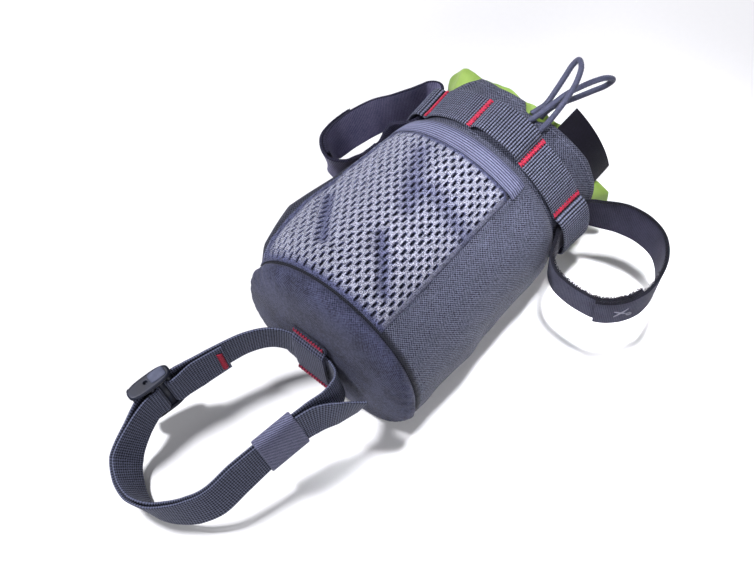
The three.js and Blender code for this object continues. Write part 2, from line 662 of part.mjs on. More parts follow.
function baseAnchor() {
  const frames = ANCHOR_ROWS.map((row, index) => {
    const before = ANCHOR_ROWS[Math.max(index - 1, 0)];
    const after = ANCHOR_ROWS[Math.min(index + 1, ANCHOR_ROWS.length - 1)];
    const run = new THREE.Vector3(0, after.along - before.along, after.above - before.above).normalize();
    const across = new THREE.Vector3(1, 0, 0);
    const side = ANCHOR.side + ANCHOR.slant * row.above;
    const centre = new THREE.Vector3(side, row.along, ANCHOR.height + row.above);
    return { centre, across, out: run.cross(across).normalize() };
  });
  return bandGeometry(frames, ANCHOR.width, ANCHOR.wall);
}

function drawCord() {
  const corners = Array.from({ length: CORD.sides }, (_, side) => {
    const turn = side / CORD.sides * 2 * Math.PI;
    return new THREE.Vector2(Math.cos(turn), Math.sin(turn)).multiplyScalar(CORD.diameter / 2);
  });
  const route = CORD_ROUTE.map(([x, y, z]) => new THREE.Vector3(x, y, z));
  const extrudePath = new THREE.CatmullRomCurve3(route, false, 'centripetal');
  return new THREE.ExtrudeGeometry(new THREE.Shape(corners), { steps: CORD.steps, extrudePath });
}

const stations = strapStationFrames();
const bag = new THREE.Group();
bag.position.y = -REST_CENTRE;
bag.add(
  part('body_wall', bodyWall(), 0x4b4e5f, 0.9),
  part('base_cap', baseCap(), 0x48485a, 0.9),
  part('mesh_pocket', meshPocket(), 0x9ea0b4, 0.8),
  part('pocket_binding', pocketBinding(), 0x8284a5, 0.85),
  part('collar', collar(), 0x4b4e5f, 0.9),
  part('daisy_webbing', daisyWebbing(), 0x565a66, 0.85),
  part('mouth_lining', mouthLining(), 0xa3cd4b, 0.7),
  part('label_tag', labelTag(), 0x191623, 0.7),
  part('hook_strap_right', hookStrap(HOOK_ROUTE_RIGHT), 0x5f5f78, 0.9),
  part('hook_strap_left', hookStrap(HOOK_ROUTE_LEFT), 0x5f5f78, 0.9),
  part('base_anchor', baseAnchor(), 0x4c5058, 0.85),
  part('base_strap', baseStrap(stations), 0x4c5058, 0.85),
  part('strap_buckle', strapBuckle(stations.buckle), 0x23252f, 0.4),
  part('strap_keeper', strapKeeper(stations.keeper), 0x6a6a80, 0.9),
  part('draw_cord', drawCord(), 0x6b6d80, 0.8),
);

const bottleBag = new THREE.Group();
bottleBag.add(bag);

export default bottleBag;
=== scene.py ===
# Looks of the bicycle bottle bag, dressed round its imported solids.
# Tables are in millimetres along the bag: the base seam is at y = 0, +Y runs to the mouth and +Z is up.
# Pieces are made in metres, in the frame of the solids.
import math
from types import SimpleNamespace as Sizes

import bpy
import numpy as np
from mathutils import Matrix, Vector


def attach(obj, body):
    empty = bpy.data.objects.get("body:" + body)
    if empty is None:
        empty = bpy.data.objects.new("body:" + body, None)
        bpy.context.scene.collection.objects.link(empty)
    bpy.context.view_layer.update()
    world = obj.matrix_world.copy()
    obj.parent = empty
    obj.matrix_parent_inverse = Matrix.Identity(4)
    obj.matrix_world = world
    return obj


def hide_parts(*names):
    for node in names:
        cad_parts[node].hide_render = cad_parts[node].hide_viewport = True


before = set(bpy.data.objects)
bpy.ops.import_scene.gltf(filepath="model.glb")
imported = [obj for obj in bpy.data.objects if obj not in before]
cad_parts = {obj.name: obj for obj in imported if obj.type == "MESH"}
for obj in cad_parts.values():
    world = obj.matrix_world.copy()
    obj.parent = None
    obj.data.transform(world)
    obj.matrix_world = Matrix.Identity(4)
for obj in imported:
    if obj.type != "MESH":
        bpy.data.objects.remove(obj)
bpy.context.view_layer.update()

MM = 0.001
REST_CENTRE = 58.0
UP = np.array((0.0, 0.0, 1.0))

# Camera: angle round the bag, angle above the floor, distance and lens of the photograph
CAMERA = Sizes(azimuth=40.6, elevation=61.8, distance=1.1, lens=102.2, sensor=36.0)
CAMERA_TARGET = (-0.0018, -0.022, 0.035)

# Lamps: place and aim in metres, size, power, and full angle of the beam in degrees
LAMPS = {
    "left_light": ((-0.63, -0.46, 1.02), (-0.02, -0.06, 0.03), 0.2, 22.0, 180.0),
    "right_light": ((0.07, 0.13, 0.84), (0.09, 0.05, 0.04), 0.1, 0.3, 24.0),
    "front_light": ((0.7, -0.62, 0.6), (0.0, -0.05, 0.04), 0.5, 4.2, 180.0),
}
LIGHT_COLOUR = (0.95, 0.955, 1.08)
WORLD_STRENGTH = 0.22
FLOOR_HALF = 3.0

# The lamps are strong enough to bleach the floor, so surfaces take this share of their screen colour
LAMP_SHARE = 0.55

# Screen colours: the low and the high end of each material
COLOURS = {
    "ripstop_cloth": ((6, 8, 15), (133, 137, 158)), "base_cloth": ((18, 19, 33), (92, 95, 124)),
    # Net in its dents: the dark body under the net, and painted shade in the creases
    "net_knit": ((38, 40, 56), (222, 224, 237)), "net_pressed_painted_shade": ((20, 22, 42), (118, 123, 164)),
    "binding_elastic": ((46, 48, 70), (150, 153, 182)), "keeper_sleeve": ((12, 13, 25), (162, 164, 197)),
    "ring_webbing": ((6, 7, 12), (138, 142, 165)), "strap_webbing": ((2, 3, 7), (122, 127, 152)),
    # anchor_webbing is a darker copy of the strap webbing: painted shade on the anchor patch
    "anchor_webbing": ((2, 3, 7), (104, 107, 131)), "label_weave": ((8, 7, 13), (40, 37, 52)),
    "lining_cloth": ((138, 174, 66), (176, 208, 102)), "floor_paper": ((235, 234, 226), (238, 237, 229)),
    "tape_face": ((42, 42, 58), (98, 98, 120)), "tape_back": ((84, 81, 108), (150, 146, 176)),
    # tape_inside: painted shade on the right strap's inner faces, and the dark colour of the left strap's
    # edges and hooks
    "tape_inside": ((26, 25, 36), (66, 64, 84)), "tape_hooks": ((6, 6, 9), (36, 36, 46)),
    "buckle_plastic": ((10, 14, 27), (28, 36, 60)), "buckle_pad": ((74, 79, 98), (116, 121, 140)),
    "cord_braid": ((26, 28, 44), (108, 111, 136)), "grey_thread": ((92, 94, 112), (150, 152, 170)),
    # A darker copy of the red thread is painted shade on the anchor's tacks
    "red_thread": ((190, 26, 54), (232, 70, 100)), "red_thread_painted_shade": ((136, 22, 48), (188, 60, 90)),
    "mark_print": ((180, 180, 200), (225, 225, 238)),
}
FADED_COLOUR = (64, 66, 84)
LINE_COLOUR = (120, 123, 144)
# Colour that the stored shade darkens the ripstop toward: painted shade on the body, a darker tone on the
# collar
SHADE_COLOUR = (16, 17, 26)
# Painted shade on the lips of the net's slits, so its holes look dark
HOLE_SHADE_COLOUR = (16, 17, 30)

# Looks of the materials, in millimetres: pitch of the yarns along and across, size and share of the specks
# and of the wide patches, where the tones end, depth of the bump, and roughness of low and high places
PLAIN_LOOK = dict(tones=(0.0, 1.0), sheen=0.05, specular=0.2)
TAPE_LOOK = dict(patches=(8.0, 0.3), tones=(0.3, 0.75), bump=0.12, rough=(0.95, 0.75), specular=0.1)
PLASTIC_LOOK = dict(tones=(0.35, 0.75), bump=0.05, rough=(0.42, 0.58), sheen=0.0, specular=0.35)
LOOKS = {
    "ripstop": dict(weave=(1.45, 1.45), specks=(0.8, 0.55), tones=(0.41, 0.59), bump=0.2, rough=(0.92, 0.7)),
    "base": dict(weave=(0.9, 1.3), specks=(1.1, 0.6), patches=(12.0, 0.3), tones=(0.34, 0.66), bump=0.14,
                 rough=(0.9, 0.72)),
    "net": dict(weave=(1.1, 0.8), specks=(0.6, 0.7), tones=(0.4, 0.6), bump=0.4, rough=(0.75, 0.5)),
    "ribbed": dict(specks=(0.7, 0.4), tones=(0.2, 0.85), bump=0.18, rough=(0.9, 0.65)),
    "webbing": dict(specks=(0.8, 0.4), tones=(0.25, 0.75), bump=0.25, rough=(0.9, 0.6)),
    "lining": dict(weave=(0.7, 0.7), patches=(14.0, 0.85), tones=(0.3, 0.7), bump=0.04, rough=(0.62, 0.5)),
    "label": dict(weave=(0.5, 0.9), bump=0.05, rough=(0.7, 0.5), sheen=0.0, specular=0.12),
    "tape": TAPE_LOOK, "hooks": {**TAPE_LOOK, "bump": 0.4},
    "plastic": PLASTIC_LOOK, "pad": {**PLASTIC_LOOK, "rough": (0.6, 0.8)},
    "thread": dict(patches=(1.5, 0.5), bump=0.06, rough=(0.7, 0.45)),
    "floor": dict(bump=0.01, rough=(0.95, 0.9), sheen=0.0),
}
SHEEN_ROUGHNESS = 0.5
RIPSTOP_LINES = Sizes(pitch=6.5, ramp=(0.975, 1.0), height=0.6, share=0.05)
RIPSTOP_FADE = Sizes(size=9.0, share=0.3)
TAPE_NAP = Sizes(pitch=0.9, size=0.6, share=0.65)
PLASTIC = Sizes(rubbed=6.0, grain=0.45)
THREAD_TWIST = Sizes(pitch=0.5, slant=0.7)
LABEL_GRAIN = 1.2
FLOOR_GRAIN = 3.0

# Sizes of the bag, as in its solids
AXIS_HEIGHT = 38.0
AXIS_SIDE = 1.5
SLUMP_POWER = 2.6
SEAM_GAP = 0.3
BASE_WALL = 2.0
LINING_WALL = 0.9

# Walls round the bag: their edges, thickness, columns, and steps along their outer and inner side
BODY = Sizes(low=0.0, high=116.7, wall=3.0, columns=300, steps=(90, 24))
COLLAR = Sizes(low=BODY.high - 1.2, wall=1.8, columns=300, steps=(40, 16))
BINDING = Sizes(low=101.3, high=113.5, wall=1.3, columns=150, steps=(57, 8), right=35.0)
WEBBING = Sizes(low=118.0, high=138.0, wall=1.5, columns=1070, steps=(12, 4))
LABEL = Sizes(low=146.0, high=167.0, wall=0.8, columns=60, steps=(30, 12), left=26.0, right=77.0, inset=2.15)

# Columns and rows of the other meshes round the bag
BASE_STEPS = (240, 46)
LINING_STEPS = (320, 60)

# Crumples of the soft pieces: height, wavelength and seed of their waves
CRUMPLES = {
    "body": (0.45, 42, 3), "body_fine": (0.2, 15, 5), "body_gathers": (2, 30, 8), "base_pleats": (2, 34, 11),
    "base": (0.5, 26, 12), "net": (0.3, 11, 21), "collar": (0.35, 17, 31), "lining_along": (0.5, 13, 41),
    "lining_out": (0.5, 10, 42),
}
CRUMPLE_STRETCH = (0.7, 1.6)

# Outline across the axis: along, half width, rise, drop
SECTIONS = (
    (0, 53.5, 52, 40), (20, 54, 52, 40.5), (60, 53, 51, 40.5), (100, 51.5, 50.2, 40.5), (110, 50.6, 49.6, 40),
    (117, 48, 47.6, 34.8), (128, 48, 47.8, 34.5), (140, 48.5, 48, 34.5), (170, 48, 47.2, 34.5),
)

# Swell of the left side: along, height
SWELL_ANGLE = -80.0
SWELL_SPREAD = 25.0
SWELL_ROWS = (
    (-20, 0), (3, 0), (13, 5), (24, 7.8), (37, 10.4), (48, 8.6), (64, 5.4), (81, 3.2), (101, 0.6), (112, 0),
    (180, 0),
)

# Folds of the body's cloth; a ramp is where something starts and where it is full
BODY_FOLDS = Sizes(bare_ramp=(54.0, 60.0), gathers=58, gather_height=0.35, gather_fade=6, ends=(0, 3))
SEAM_RIDGE = Sizes(height=0.9, shift=1.6, spread=1.1)
# Painted shade in the groove along the base seam: how much it darkens the body and where it fades out
BASE_SEAM_SHADE = 0.9
BASE_SEAM_RAMP = (0.6, 2.6)

# Puffed base: step from its middle to the seam, share of the seam's outline, along
BASE_ROWS = (
    (0, 0.012, -11.3), (1, 0.4, -11), (2, 0.72, -10.2), (3, 0.89, -8.4), (4, 0.985, -5.6), (5, 1.01, -2.6),
    (6, 0.99, -0.3),
)
BASE_FOLDS = Sizes(edge_ramp=(0.55, 0.95), seam_ramp=(0.3, 2.5), pleats=44, pleat_height=0.22, most=0.6)

# Net pocket, the arm that turns its angles into millimetres, its elastic edge, and its dents: angle and along
# of both ends, spread, depth
POCKET = Sizes(left=-74.0, right=33.0, low=1.0, high=101.0, wall=1.2, lift=0.75, puff=3.2)
POCKET_EDGES = Sizes(side_power=4, hem_ramp=7, hem_draw=0.8, hem_power=6, least=0.2)
POCKET_ARM = 52.0
POCKET_DENTS = (
    (-58, 96, -62, 4, 5, 3.2), (-25, 20, -46, 44, 4, 2.6), (-2, 38, 20, 15, 4, 2.6),
    (-22, 90, -3, 59, 6, 2.2), (0, 74, 28, 67, 6, 2),
)
ELASTIC = Sizes(lift=0.6, splay=0.6, sewn_ramp=(0, 4), ribs=7, rib_height=0.3, rib_sink=0.2)

# Net in columns and rows of cells, with slits that are narrower in its first columns
NET = Sizes(columns=36, rows=15, hole_width=0.41, hole_length=0.4, ridge=0.35, dip=0.5, step=0.25)
NET_SLIT_COLUMNS = (3, 18)
NET_SLIT_SHARES = (0.58, 0.93)
NET_RAMPS = Sizes(sewn=(0, 1.5), puff=(0, 5), slack=(0, 3), shade=(0, 2.5), low_shade=(0, 0.6))
NET_SEWN = Sizes(lift=0.9, wall=0.6)
# Painted shade on the net: beside its seams, with its crumples, under the elastic edge, at the base seam, on
# its slits' lips, and the range over which the dents' painted shade gives way to the knit's own colour
NET_SHADES = Sizes(edge=0.3, slack=0.1, high=1.2, low=0.5, hole=-1.0, pressed=0.1, stretched=0.9)

# Left edge of the net, along and angle, and the bare strip beside it: ramps at its left, right, low and high
NET_LEFT_ROWS = ((0, -72), (15, -69), (35, -66), (60, -66), (85, -69), (101, -73))
STRIP_RISE = 2.2
STRIP_RISE_RAMPS = ((-88, -76), (-1, 4), (2, 12), (0, 20))
# Painted shade on the bare strip that the swell turns from the light: its share and ramps
STRIP_SHADE = 0.7
STRIP_SHADE_RAMPS = ((-110, -95), (-2, 2), (0, 8), (0, 10))

# Rim of the collar, angle and top, and the turned hem and stitches below it
RIM_ROWS = (
    (-180, 147), (-110, 144), (-85, 140), (-60, 139.5), (-38, 151), (-20, 148.5), (0, 149), (5, 144.5),
    (15, 144.5), (20, 148.8), (55, 153), (70, 152), (90, 147), (180, 147),
)
COLLAR_HEM = Sizes(height=0.35, start=5.2, full=4.4, fold_ramp=4, stitches=3.6, stitch_lift=0.45)
# Share of the ripstop's colour that the whole collar keeps through the stored shade; the collar is drawn
# darker than the body
COLLAR_TONE = 0.67
TUCK = Sizes(depth=0.6, start=0.5, full=1.5)

# Edge of the lining past the rim: angle, reach, flare
SKIRT_ROWS = (
    (-180, 154, -3.5), (-110, 152, 1), (-75, 153, 5), (-52, 153.5, 4), (-38, 152.5, -2.9), (0, 151, -3.6),
    (26, 154, -4.2), (80, 156.5, -4.2), (90, 159, 3.5), (104, 157, 5.5), (130, 154, -1), (180, 154, -3.5),
)

# Path of the lining from inside the collar, past the rim and back in: step, stay, past rim, draw, back
LINING_INSET = 3.3
LINING_LOW = 121.0
LINING_FULL_DRAW = 11.0
LINING_ROWS = (
    (0, 0, 0, 0, 0), (1, 0.5, 0, 0, 0), (2, 1, 0, 0, 0), (3, 1, 0.3, 0, 0), (4, 1, 0.7, 0, 0),
    (5, 1, 1, 0, 0), (6, 1, 1, 3, 0.4), (7, 1, 1, 7.5, 3), (8, 1, 1, 11, 9),
)
LINING_GATHERS = Sizes(count=15, depth=1.3, free_ramp=(0.2, 0.9))

# Webbing ring: nine bar tacks, and the rise of each cell between them
WEBBING_RIBS = Sizes(count=214, pitch=1.4, height=0.3, edge_ramp=(0.02, 0.07))
TACK_FIRST_ANGLE = 25.0
TACK_COUNT = 9
CELL_POWER = 6
CELL_FLAT = 0.92
CELL_RISES = (0.9, 4.9, 0.9, 0.4, 0.4, 0.9, 4.9, 0.9, 4.9)

LABEL_EDGE = Sizes(depth=0.12, ramp=(0.05, 0.09))

# Hook and loop straps, the sides of their tape, the hooks along their edge, and closed routes: x, y, z, lean
HOOK_STRAP = Sizes(width=20.0, thickness=1.8, overlap=26.0, step=0.8, face_steps=12, squareness=2.5)
TAPE_OUTSIDE, TAPE_EDGE, TAPE_INSIDE = range(3)
HOOKS = Sizes(per_step=7, radius=0.13, bulge=0.1, below_edge=0.6, seed=7, steps=4, sides=5)
HOOK_SPREADS = Sizes(gap=(-0.5, 0.5), up=(0.7, 1.5), along=(-0.7, 0.7), out=(-0.4, 0.8))
HOOK_ROUTE_RIGHT = (
    (91, 97.5, 42, 0), (100, 104.5, 42, 0), (105.5, 115, 42, 0), (106, 127, 42, 5), (102.5, 139, 42, 10),
    (94, 148, 42, 15), (83, 151, 42, 19), (71, 149.5, 42, 19), (60.5, 144.5, 42, 12), (51.9, 138.5, 42.2, 6),
    (51.3, 128, 41.8, 4), (51.4, 118.5, 41.8, 4), (54.2, 111, 42, 0), (57.5, 103.5, 42, 0),
    (64.5, 98.2, 42, 0), (73, 96.3, 42, 0), (82, 96, 42, 0),
)
HOOK_ROUTE_LEFT = (
    (-71, 99.7, 47, 36), (-73, 87.5, 47, 30), (-72.5, 80, 47, 20), (-67.5, 75, 46, 10), (-62.3, 76.5, 44, 4),
    (-58.8, 82, 41, 2), (-56.6, 89, 38.5, 1), (-55, 100, 39.5, 2), (-54.3, 110, 45.5, 10),
    (-47.25, 117.8, 49, 13.5), (-47, 128, 48, 13), (-47.7, 138, 46.8, 12), (-50.3, 142, 45.3, 12),
    (-55.3, 141, 43, 13), (-59.5, 132.5, 42.3, 18), (-63.2, 121.5, 43.8, 27), (-67.6, 111.5, 46, 34),
)

# Scissors mark on the right strap's end: its station, blades, and the ring handle's middle and half sizes
MARK_STATION = 17
MARK_BLADES = (((-4.5, -2.6), (3.2, 3.0)), ((-4.5, 2.6), (2.2, -1.6)))
MARK_HANDLE = ((3.6, -2.4), (1.3, 1.0))
MARK_RADIUS = 0.42
MARK_POINTS = 13

# Base strap: name, x, y, z, lean of its stations, from the anchor round to the fold beside it
BASE_STRAP = Sizes(
    width=20.0, thickness=1.6, layer_shift=2.3, rib_pitch=1.35, rib_height=0.12, bead_pitch=1.5,
)
STRAP_STATIONS = (
    ("anchor", -2, -13, 35, 0), ("far_exit", -15, -13.6, 35.2, 0), ("far_bend", -25, -18.5, 35.5, 0),
    ("far_run", -32.9, -28.7, 35, 3), ("tack", -39.4, -44, 33, 9), ("sewn_end", -44.7, -60.3, 30, 15),
    ("buckle", -49, -77.3, 26.5, 9), ("left_run", -46.1, -96.8, 21.6, 21),
    ("left_end", -42.2, -109.6, 14.5, 41), ("low_end", -34.3, -116.8, 11, 42),
    ("low_left", -25.2, -120.5, 10.5, 33), ("low_middle", -16, -120.6, 12, 15), ("low", -7, -116.2, 14, -1),
    ("low_right", 1.7, -108.8, 17, -15), ("near_bend", 7.5, -99.6, 20.5, -24),
    ("near_run", 10.3, -83.3, 26, -26), ("keeper", 14.7, -57.8, 32, -17), ("near_exit", 18.7, -38.7, 35, -18),
    ("fold_in", 21.5, -25.5, 36, -20), ("fold", 18, -16, 35.5, -12), ("fold_out", 10, -13.1, 35, -2),
)
TAIL_STATIONS = (
    ("tail_exit", 22, -39.5, 35.5, -16), ("tail_bend", 28.5, -27.5, 34, -3), ("tail_tip", 34, -17, 32, 16),
)
SEWN_END = Sizes(back=4.0, spread=0.8, tack_at=3.0, tack_reach=6.5)
WEBBING_BAND = Sizes(slack=0.1, face_steps=8, squareness=1.4)

# Ladder lock buckle, along and out from its station
BUCKLE = Sizes(start=-12.0, end=13.0, low=-2.4, high=7.3, sides=48, bar_reach=11.9)
BUCKLE_BAR_RADIUS = 1.6
BUCKLE_BARS = {"fixed": (-9.0, 0.0), "middle": (1.0, 0.0), "front": (10.8, 5.6)}
BUCKLE_WEB = Sizes(along=-4.0, half_along=1.7, half_out=1.0)
BAR_TURN = BUCKLE_BAR_RADIUS + SEAM_GAP + BASE_STRAP.thickness / 2
BAR_STRAIGHT = 4.0

# Outlines of the buckle's rails, slots and pad: half sizes, roundness and shift from the middle
RAIL_OUTLINE = ((12.5, 4.85), 3.0, (0.0, 0.0))
SLOT_OUTLINE = ((1.1, 0.9), 2.4, (1.2, 0.6))
PAD_OUTLINE = ((4.6, 3.0), 6.0, (-5.6, 0.3))

# Rings of each outline: how far it grows, height across the strap
RAIL_RINGS = ((-1.1, 11.5), (-0.5, 11.65), (0, 12.2), (0, 13), (-0.35, 13.6), (-1, 13.9), (-1.4, 13.9))
SLOT_RINGS = ((0.5, 13.9), (0.15, 13.9), (0, 13.7), (0, 12.4))
PAD_RINGS = ((0, 13.5), (0, 14.2), (-0.4, 14.55))

KEEPER = Sizes(length=24.0, half_width=11.4, half_depth=3.2, wall=1.0, columns=120, steps=(60, 12), power=3.4)
KEEPER_RIBS = Sizes(count=46, height=0.14, twill_pitch=1.0, twill_slant=0.6)

# Anchor patch on the base: above its middle, along; the base is drawn out to its lower end
ANCHOR = Sizes(width=21.0, wall=1.5, height=35.0, side=-2.0, slant=-0.14, step=0.35)
ANCHOR_ROWS = (
    (17.5, -12.6), (14, -12.6), (11.4, -15.2), (6, -15.5), (0, -15.6), (-6, -15.6), (-11.4, -15.4),
    (-14.5, -15), (-17.5, -14.8),
)
ANCHOR_TACKS = (("tack_anchor_top", 15.8, ANCHOR_ROWS[0][1]), ("tack_anchor_low", -15.8, ANCHOR_ROWS[-1][1]))
ANCHOR_TACK_INSET = 0.8
ANCHOR_BUMP = Sizes(height=2.6, half_wide=11, half_high=5.5)

# Draw cord from the notch, round both loops and the turn behind the webbing: x, y, z
CORD = Sizes(diameter=3.0, sides=16, strands=4, braid_pitch=3.2, braid_height=0.035, step=0.5)
CORD_ROUTE = (
    (8, 146, 84), (9.3, 150, 84.8), (10.6, 154.3, 86), (10.4, 162.4, 89.2), (10, 170.6, 93.3),
    (10.1, 175.8, 97.1), (12.1, 177.8, 101), (16, 174.4, 102), (18.9, 167.4, 100), (20.1, 159.8, 97),
    (20.2, 151.1, 93), (19.3, 144, 88.6), (17.9, 138.2, 85.6), (17.8, 131.5, 85.2), (15.8, 126.2, 85.8),
    (11.7, 124.2, 87), (7.6, 126.4, 87.6), (5.8, 131.8, 87.8), (10.4, 138.6, 87.4), (13.5, 145.8, 90),
    (15.7, 154.4, 92.2),
    (17.4, 162, 93), (20.2, 169, 93.8), (23.6, 176.2, 94.4), (26.5, 182.6, 93), (28.3, 187, 88.4),
    (25.9, 185, 82.8), (21.8, 179, 80.3), (18.1, 171.2, 80), (15, 163.3, 81), (13.2, 156.5, 82.8),
    (13, 149.5, 84.3), (13.2, 147, 84.3),
)

# Bar tacks and stitches: size of their threads and how far these stand apart
TACK = Sizes(half_width=1.7, pitch=0.85, radius=0.5, bulge=0.5, lift=0.2, slants=(-0.25, 0.75))
WEBBING_TACK_ENDS = (0.6, 0.4)
THREAD_TIP = 0.35
STITCH = Sizes(length=2.2, gap=1.1, radius=0.2, bulge=0.12, arm=48)


# Numbers, tables and curves

def srgb(red, green, blue, share=LAMP_SHARE):
    """Linear colour, with full alpha, of a surface that shows these 8 bit screen values under the lamps."""
    levels = [value / 255 for value in (red, green, blue)]
    return [share * (s / 12.92 if s <= 0.04045 else ((s + 0.055) / 1.055) ** 2.4) for s in levels] + [1.0]


def unit(vectors):
    return vectors / np.maximum(np.linalg.norm(vectors, axis=-1, keepdims=True), 1e-12)


def signed_power(value, power):
    return np.sign(value) * np.abs(value) ** power


def ramp(value, low, high):
    """0 below low, 1 above high and smooth between them."""
    share = np.clip((value - low) / (high - low), 0, 1)
    return share * share * (3 - 2 * share)


def straight_at(table, column, value):
    """Column of a table at values of its first column, straight between rows."""
    keys = [row[0] for row in table]
    return np.interp(value, keys, [row[column] for row in table])


def smooth_at(table, column, value):
    """Column of a table at values of its first column, on a smooth curve through the rows."""
    keys = np.array([row[0] for row in table], float)
    knots = np.array([row[column] for row in table], float)
    index = np.clip(np.searchsorted(keys, value) - 1, 0, len(keys) - 2)
    before, after = np.maximum(index - 1, 0), np.minimum(index + 2, len(keys) - 1)
    span = keys[index + 1] - keys[index]
    share = np.clip((value - keys[index]) / span, 0, 1)
    step = knots[index + 1] - knots[index]
    slope_in = (knots[index + 1] - knots[before]) / (keys[index + 1] - keys[before]) * span - step
    slope_out = (knots[after] - knots[index]) / (keys[after] - keys[index]) * span - step
    bend = share * (1 - share)
    return knots[index] + step * share + bend * (slope_in * (1 - share) - slope_out * share)


def running(lengths):
    return np.concatenate([[0.0], np.cumsum(lengths)])


def circle(sides):
    return np.linspace(0, 2 * math.pi, sides, endpoint=False)


def curve_at(control, place, closed):
    """Points of the centripetal curve through control points; a place of 2.5 is half way past the third."""
    control = np.asarray(control, float)
    index = np.floor(place).astype(int)
    if closed:
        points = [control[(index + step) % len(control)] for step in (-1, 0, 1, 2)]
    else:
        index = np.clip(index, 0, len(control) - 2)
        first, last = 2 * control[0] - control[1], 2 * control[-1] - control[-2]
        padded = np.concatenate([[first], control, [last]])
        points = [padded[index + step] for step in range(4)]
    share = (place - index)[:, None]
    gaps = [np.linalg.norm(b - a, axis=1, keepdims=True) ** 0.5 for a, b in zip(points, points[1:])]
    p0, p1, p2, p3 = points
    d0, d1, d2 = (np.maximum(gap, 1e-6) for gap in gaps)
    leave = ((p1 - p0) / d0 - (p2 - p0) / (d0 + d1) + (p2 - p1) / d1) * d1
    arrive = ((p2 - p1) / d1 - (p3 - p1) / (d1 + d2) + (p3 - p2) / d2) * d1
    cubic = 2 * p1 - 2 * p2 + leave + arrive
    square = -3 * p1 + 3 * p2 - 2 * leave - arrive
    return p1 + share * (leave + share * (square + share * cubic))


def tangent_at(control, place, closed):
    nudge = 1e-3
    low, high = place - nudge, place + nudge
    if not closed:
        low, high = np.maximum(low, 0), np.minimum(high, len(control) - 1)
    return unit(curve_at(control, high, closed) - curve_at(control, low, closed))


def even_places(control, closed, step, fine_steps=60):
    """Places along a curve that lie about a step apart, and the distance travelled to each."""
    spans = len(control) if closed else len(control) - 1
    fine = np.linspace(0, spans, spans * fine_steps + 1)
    points = curve_at(control, fine, closed)
    travel = running(np.linalg.norm(np.diff(points, axis=0), axis=1))
    wanted = np.linspace(0, travel[-1], math.ceil(travel[-1] / step) + 1)
    return np.interp(wanted, travel, fine), wanted


def open_route(control, step):
    """Places, distance travelled, points and directions about a step apart on an open curve."""
    places, travel = even_places(control, False, step)
    return places, travel, curve_at(control, places, False), tangent_at(control, places, False)


def crumple(points, name, waves=9):
    """Uneven swell of a soft piece, the same wherever it is read twice."""
    height, wavelength, seed = CRUMPLES[name]
    draw = np.random.default_rng(seed)
    total = np.zeros(points.shape[:-1])
    for _ in range(waves):
        way = unit(draw.normal(size=3)) * 2 * math.pi / (wavelength * draw.uniform(*CRUMPLE_STRETCH))
        total += np.sin(points @ way + draw.uniform(0, 2 * math.pi))
    return height * (total / math.sqrt(waves))


# The bag's skin

def outline(half_width, rise, drop, turn, along, offset):
    """Points at an angle in degrees from the top, moved out by an offset; flat where it meets the floor."""
    side, up = np.sin(np.radians(turn)), np.cos(np.radians(turn))
    power = np.where(up < 0, 2 / SLUMP_POWER, 1.0)
    lift = np.where(up < 0, drop, rise) + offset
    x = AXIS_SIDE + (half_width + offset) * signed_power(side, power)
    z = AXIS_HEIGHT + lift * signed_power(up, power)
    z = np.maximum(z, np.maximum(-offset, 0.0))
    return np.stack(np.broadcast_arrays(x, along, z), -1)


def skin(turn, along, offset):
    turn, along, offset = np.broadcast_arrays(turn, along, np.asarray(offset, float))
    swell = straight_at(SWELL_ROWS, 1, along) * np.exp(-(((turn - SWELL_ANGLE) / SWELL_SPREAD) ** 2))
    sizes = [smooth_at(SECTIONS, column, along) for column in (1, 2, 3)]
    return outline(*sizes, turn, along, offset + swell)


def skin_normal(turn, along, offset, nudge=0.2):
    around = skin(turn + nudge, along, offset) - skin(turn - nudge, along, offset)
    forward = skin(turn, along + nudge, offset) - skin(turn, along - nudge, offset)
    return unit(np.cross(around, forward))


def full_turn(columns):
    return np.linspace(-180, 180, columns, endpoint=False)


# Meshes

def to_frame(points):
    """Millimetres along the bag to metres in the frame of the solids."""
    return (np.asarray(points, float) - (0.0, REST_CENTRE, 0.0)) * MM


def wall_cut(outer_steps, inner_steps, round_steps=4):
    """Closed cut of a wall: share along it, depth into it and overrun at its rounded ends."""
    turn = np.linspace(0, math.pi, round_steps + 2)[1:-1]
    outer, inner = np.linspace(0, 1, outer_steps), np.linspace(1, 0, inner_steps)
    share = np.concatenate([outer, np.ones(round_steps), inner, np.zeros(round_steps)])
    depth = np.concatenate([0 * outer, (1 - np.cos(turn)) / 2, 0 * inner + 1, (1 + np.cos(turn)) / 2])
    over = np.concatenate([0 * outer, np.sin(turn), 0 * inner, -np.sin(turn)])
    return share, depth, over


def band_cut(width, thickness, face_steps, squareness, edge_steps=6):
    """Closed cut of a strap: across, out, and whether a point is on a face; squareness 1 rounds its edges."""
    radius = thickness / 2
    reach = width / 2 - radius / squareness
    turn = np.linspace(0, math.pi, edge_steps + 2)[1:-1]
    bow = radius / squareness * np.sin(turn) ** (1 / squareness)
    fall = radius * signed_power(np.cos(turn), 1 / squareness)
    face = np.linspace(-reach, reach, face_steps)
    across = np.concatenate([face, reach + bow, -face, -reach - bow])
    out = np.concatenate([0 * face + radius, fall, 0 * face - radius, -fall])
    on_face = np.concatenate([0 * face + 1, 0 * turn, 0 * face + 1, 0 * turn]) > 0.5
    return across, out, on_face


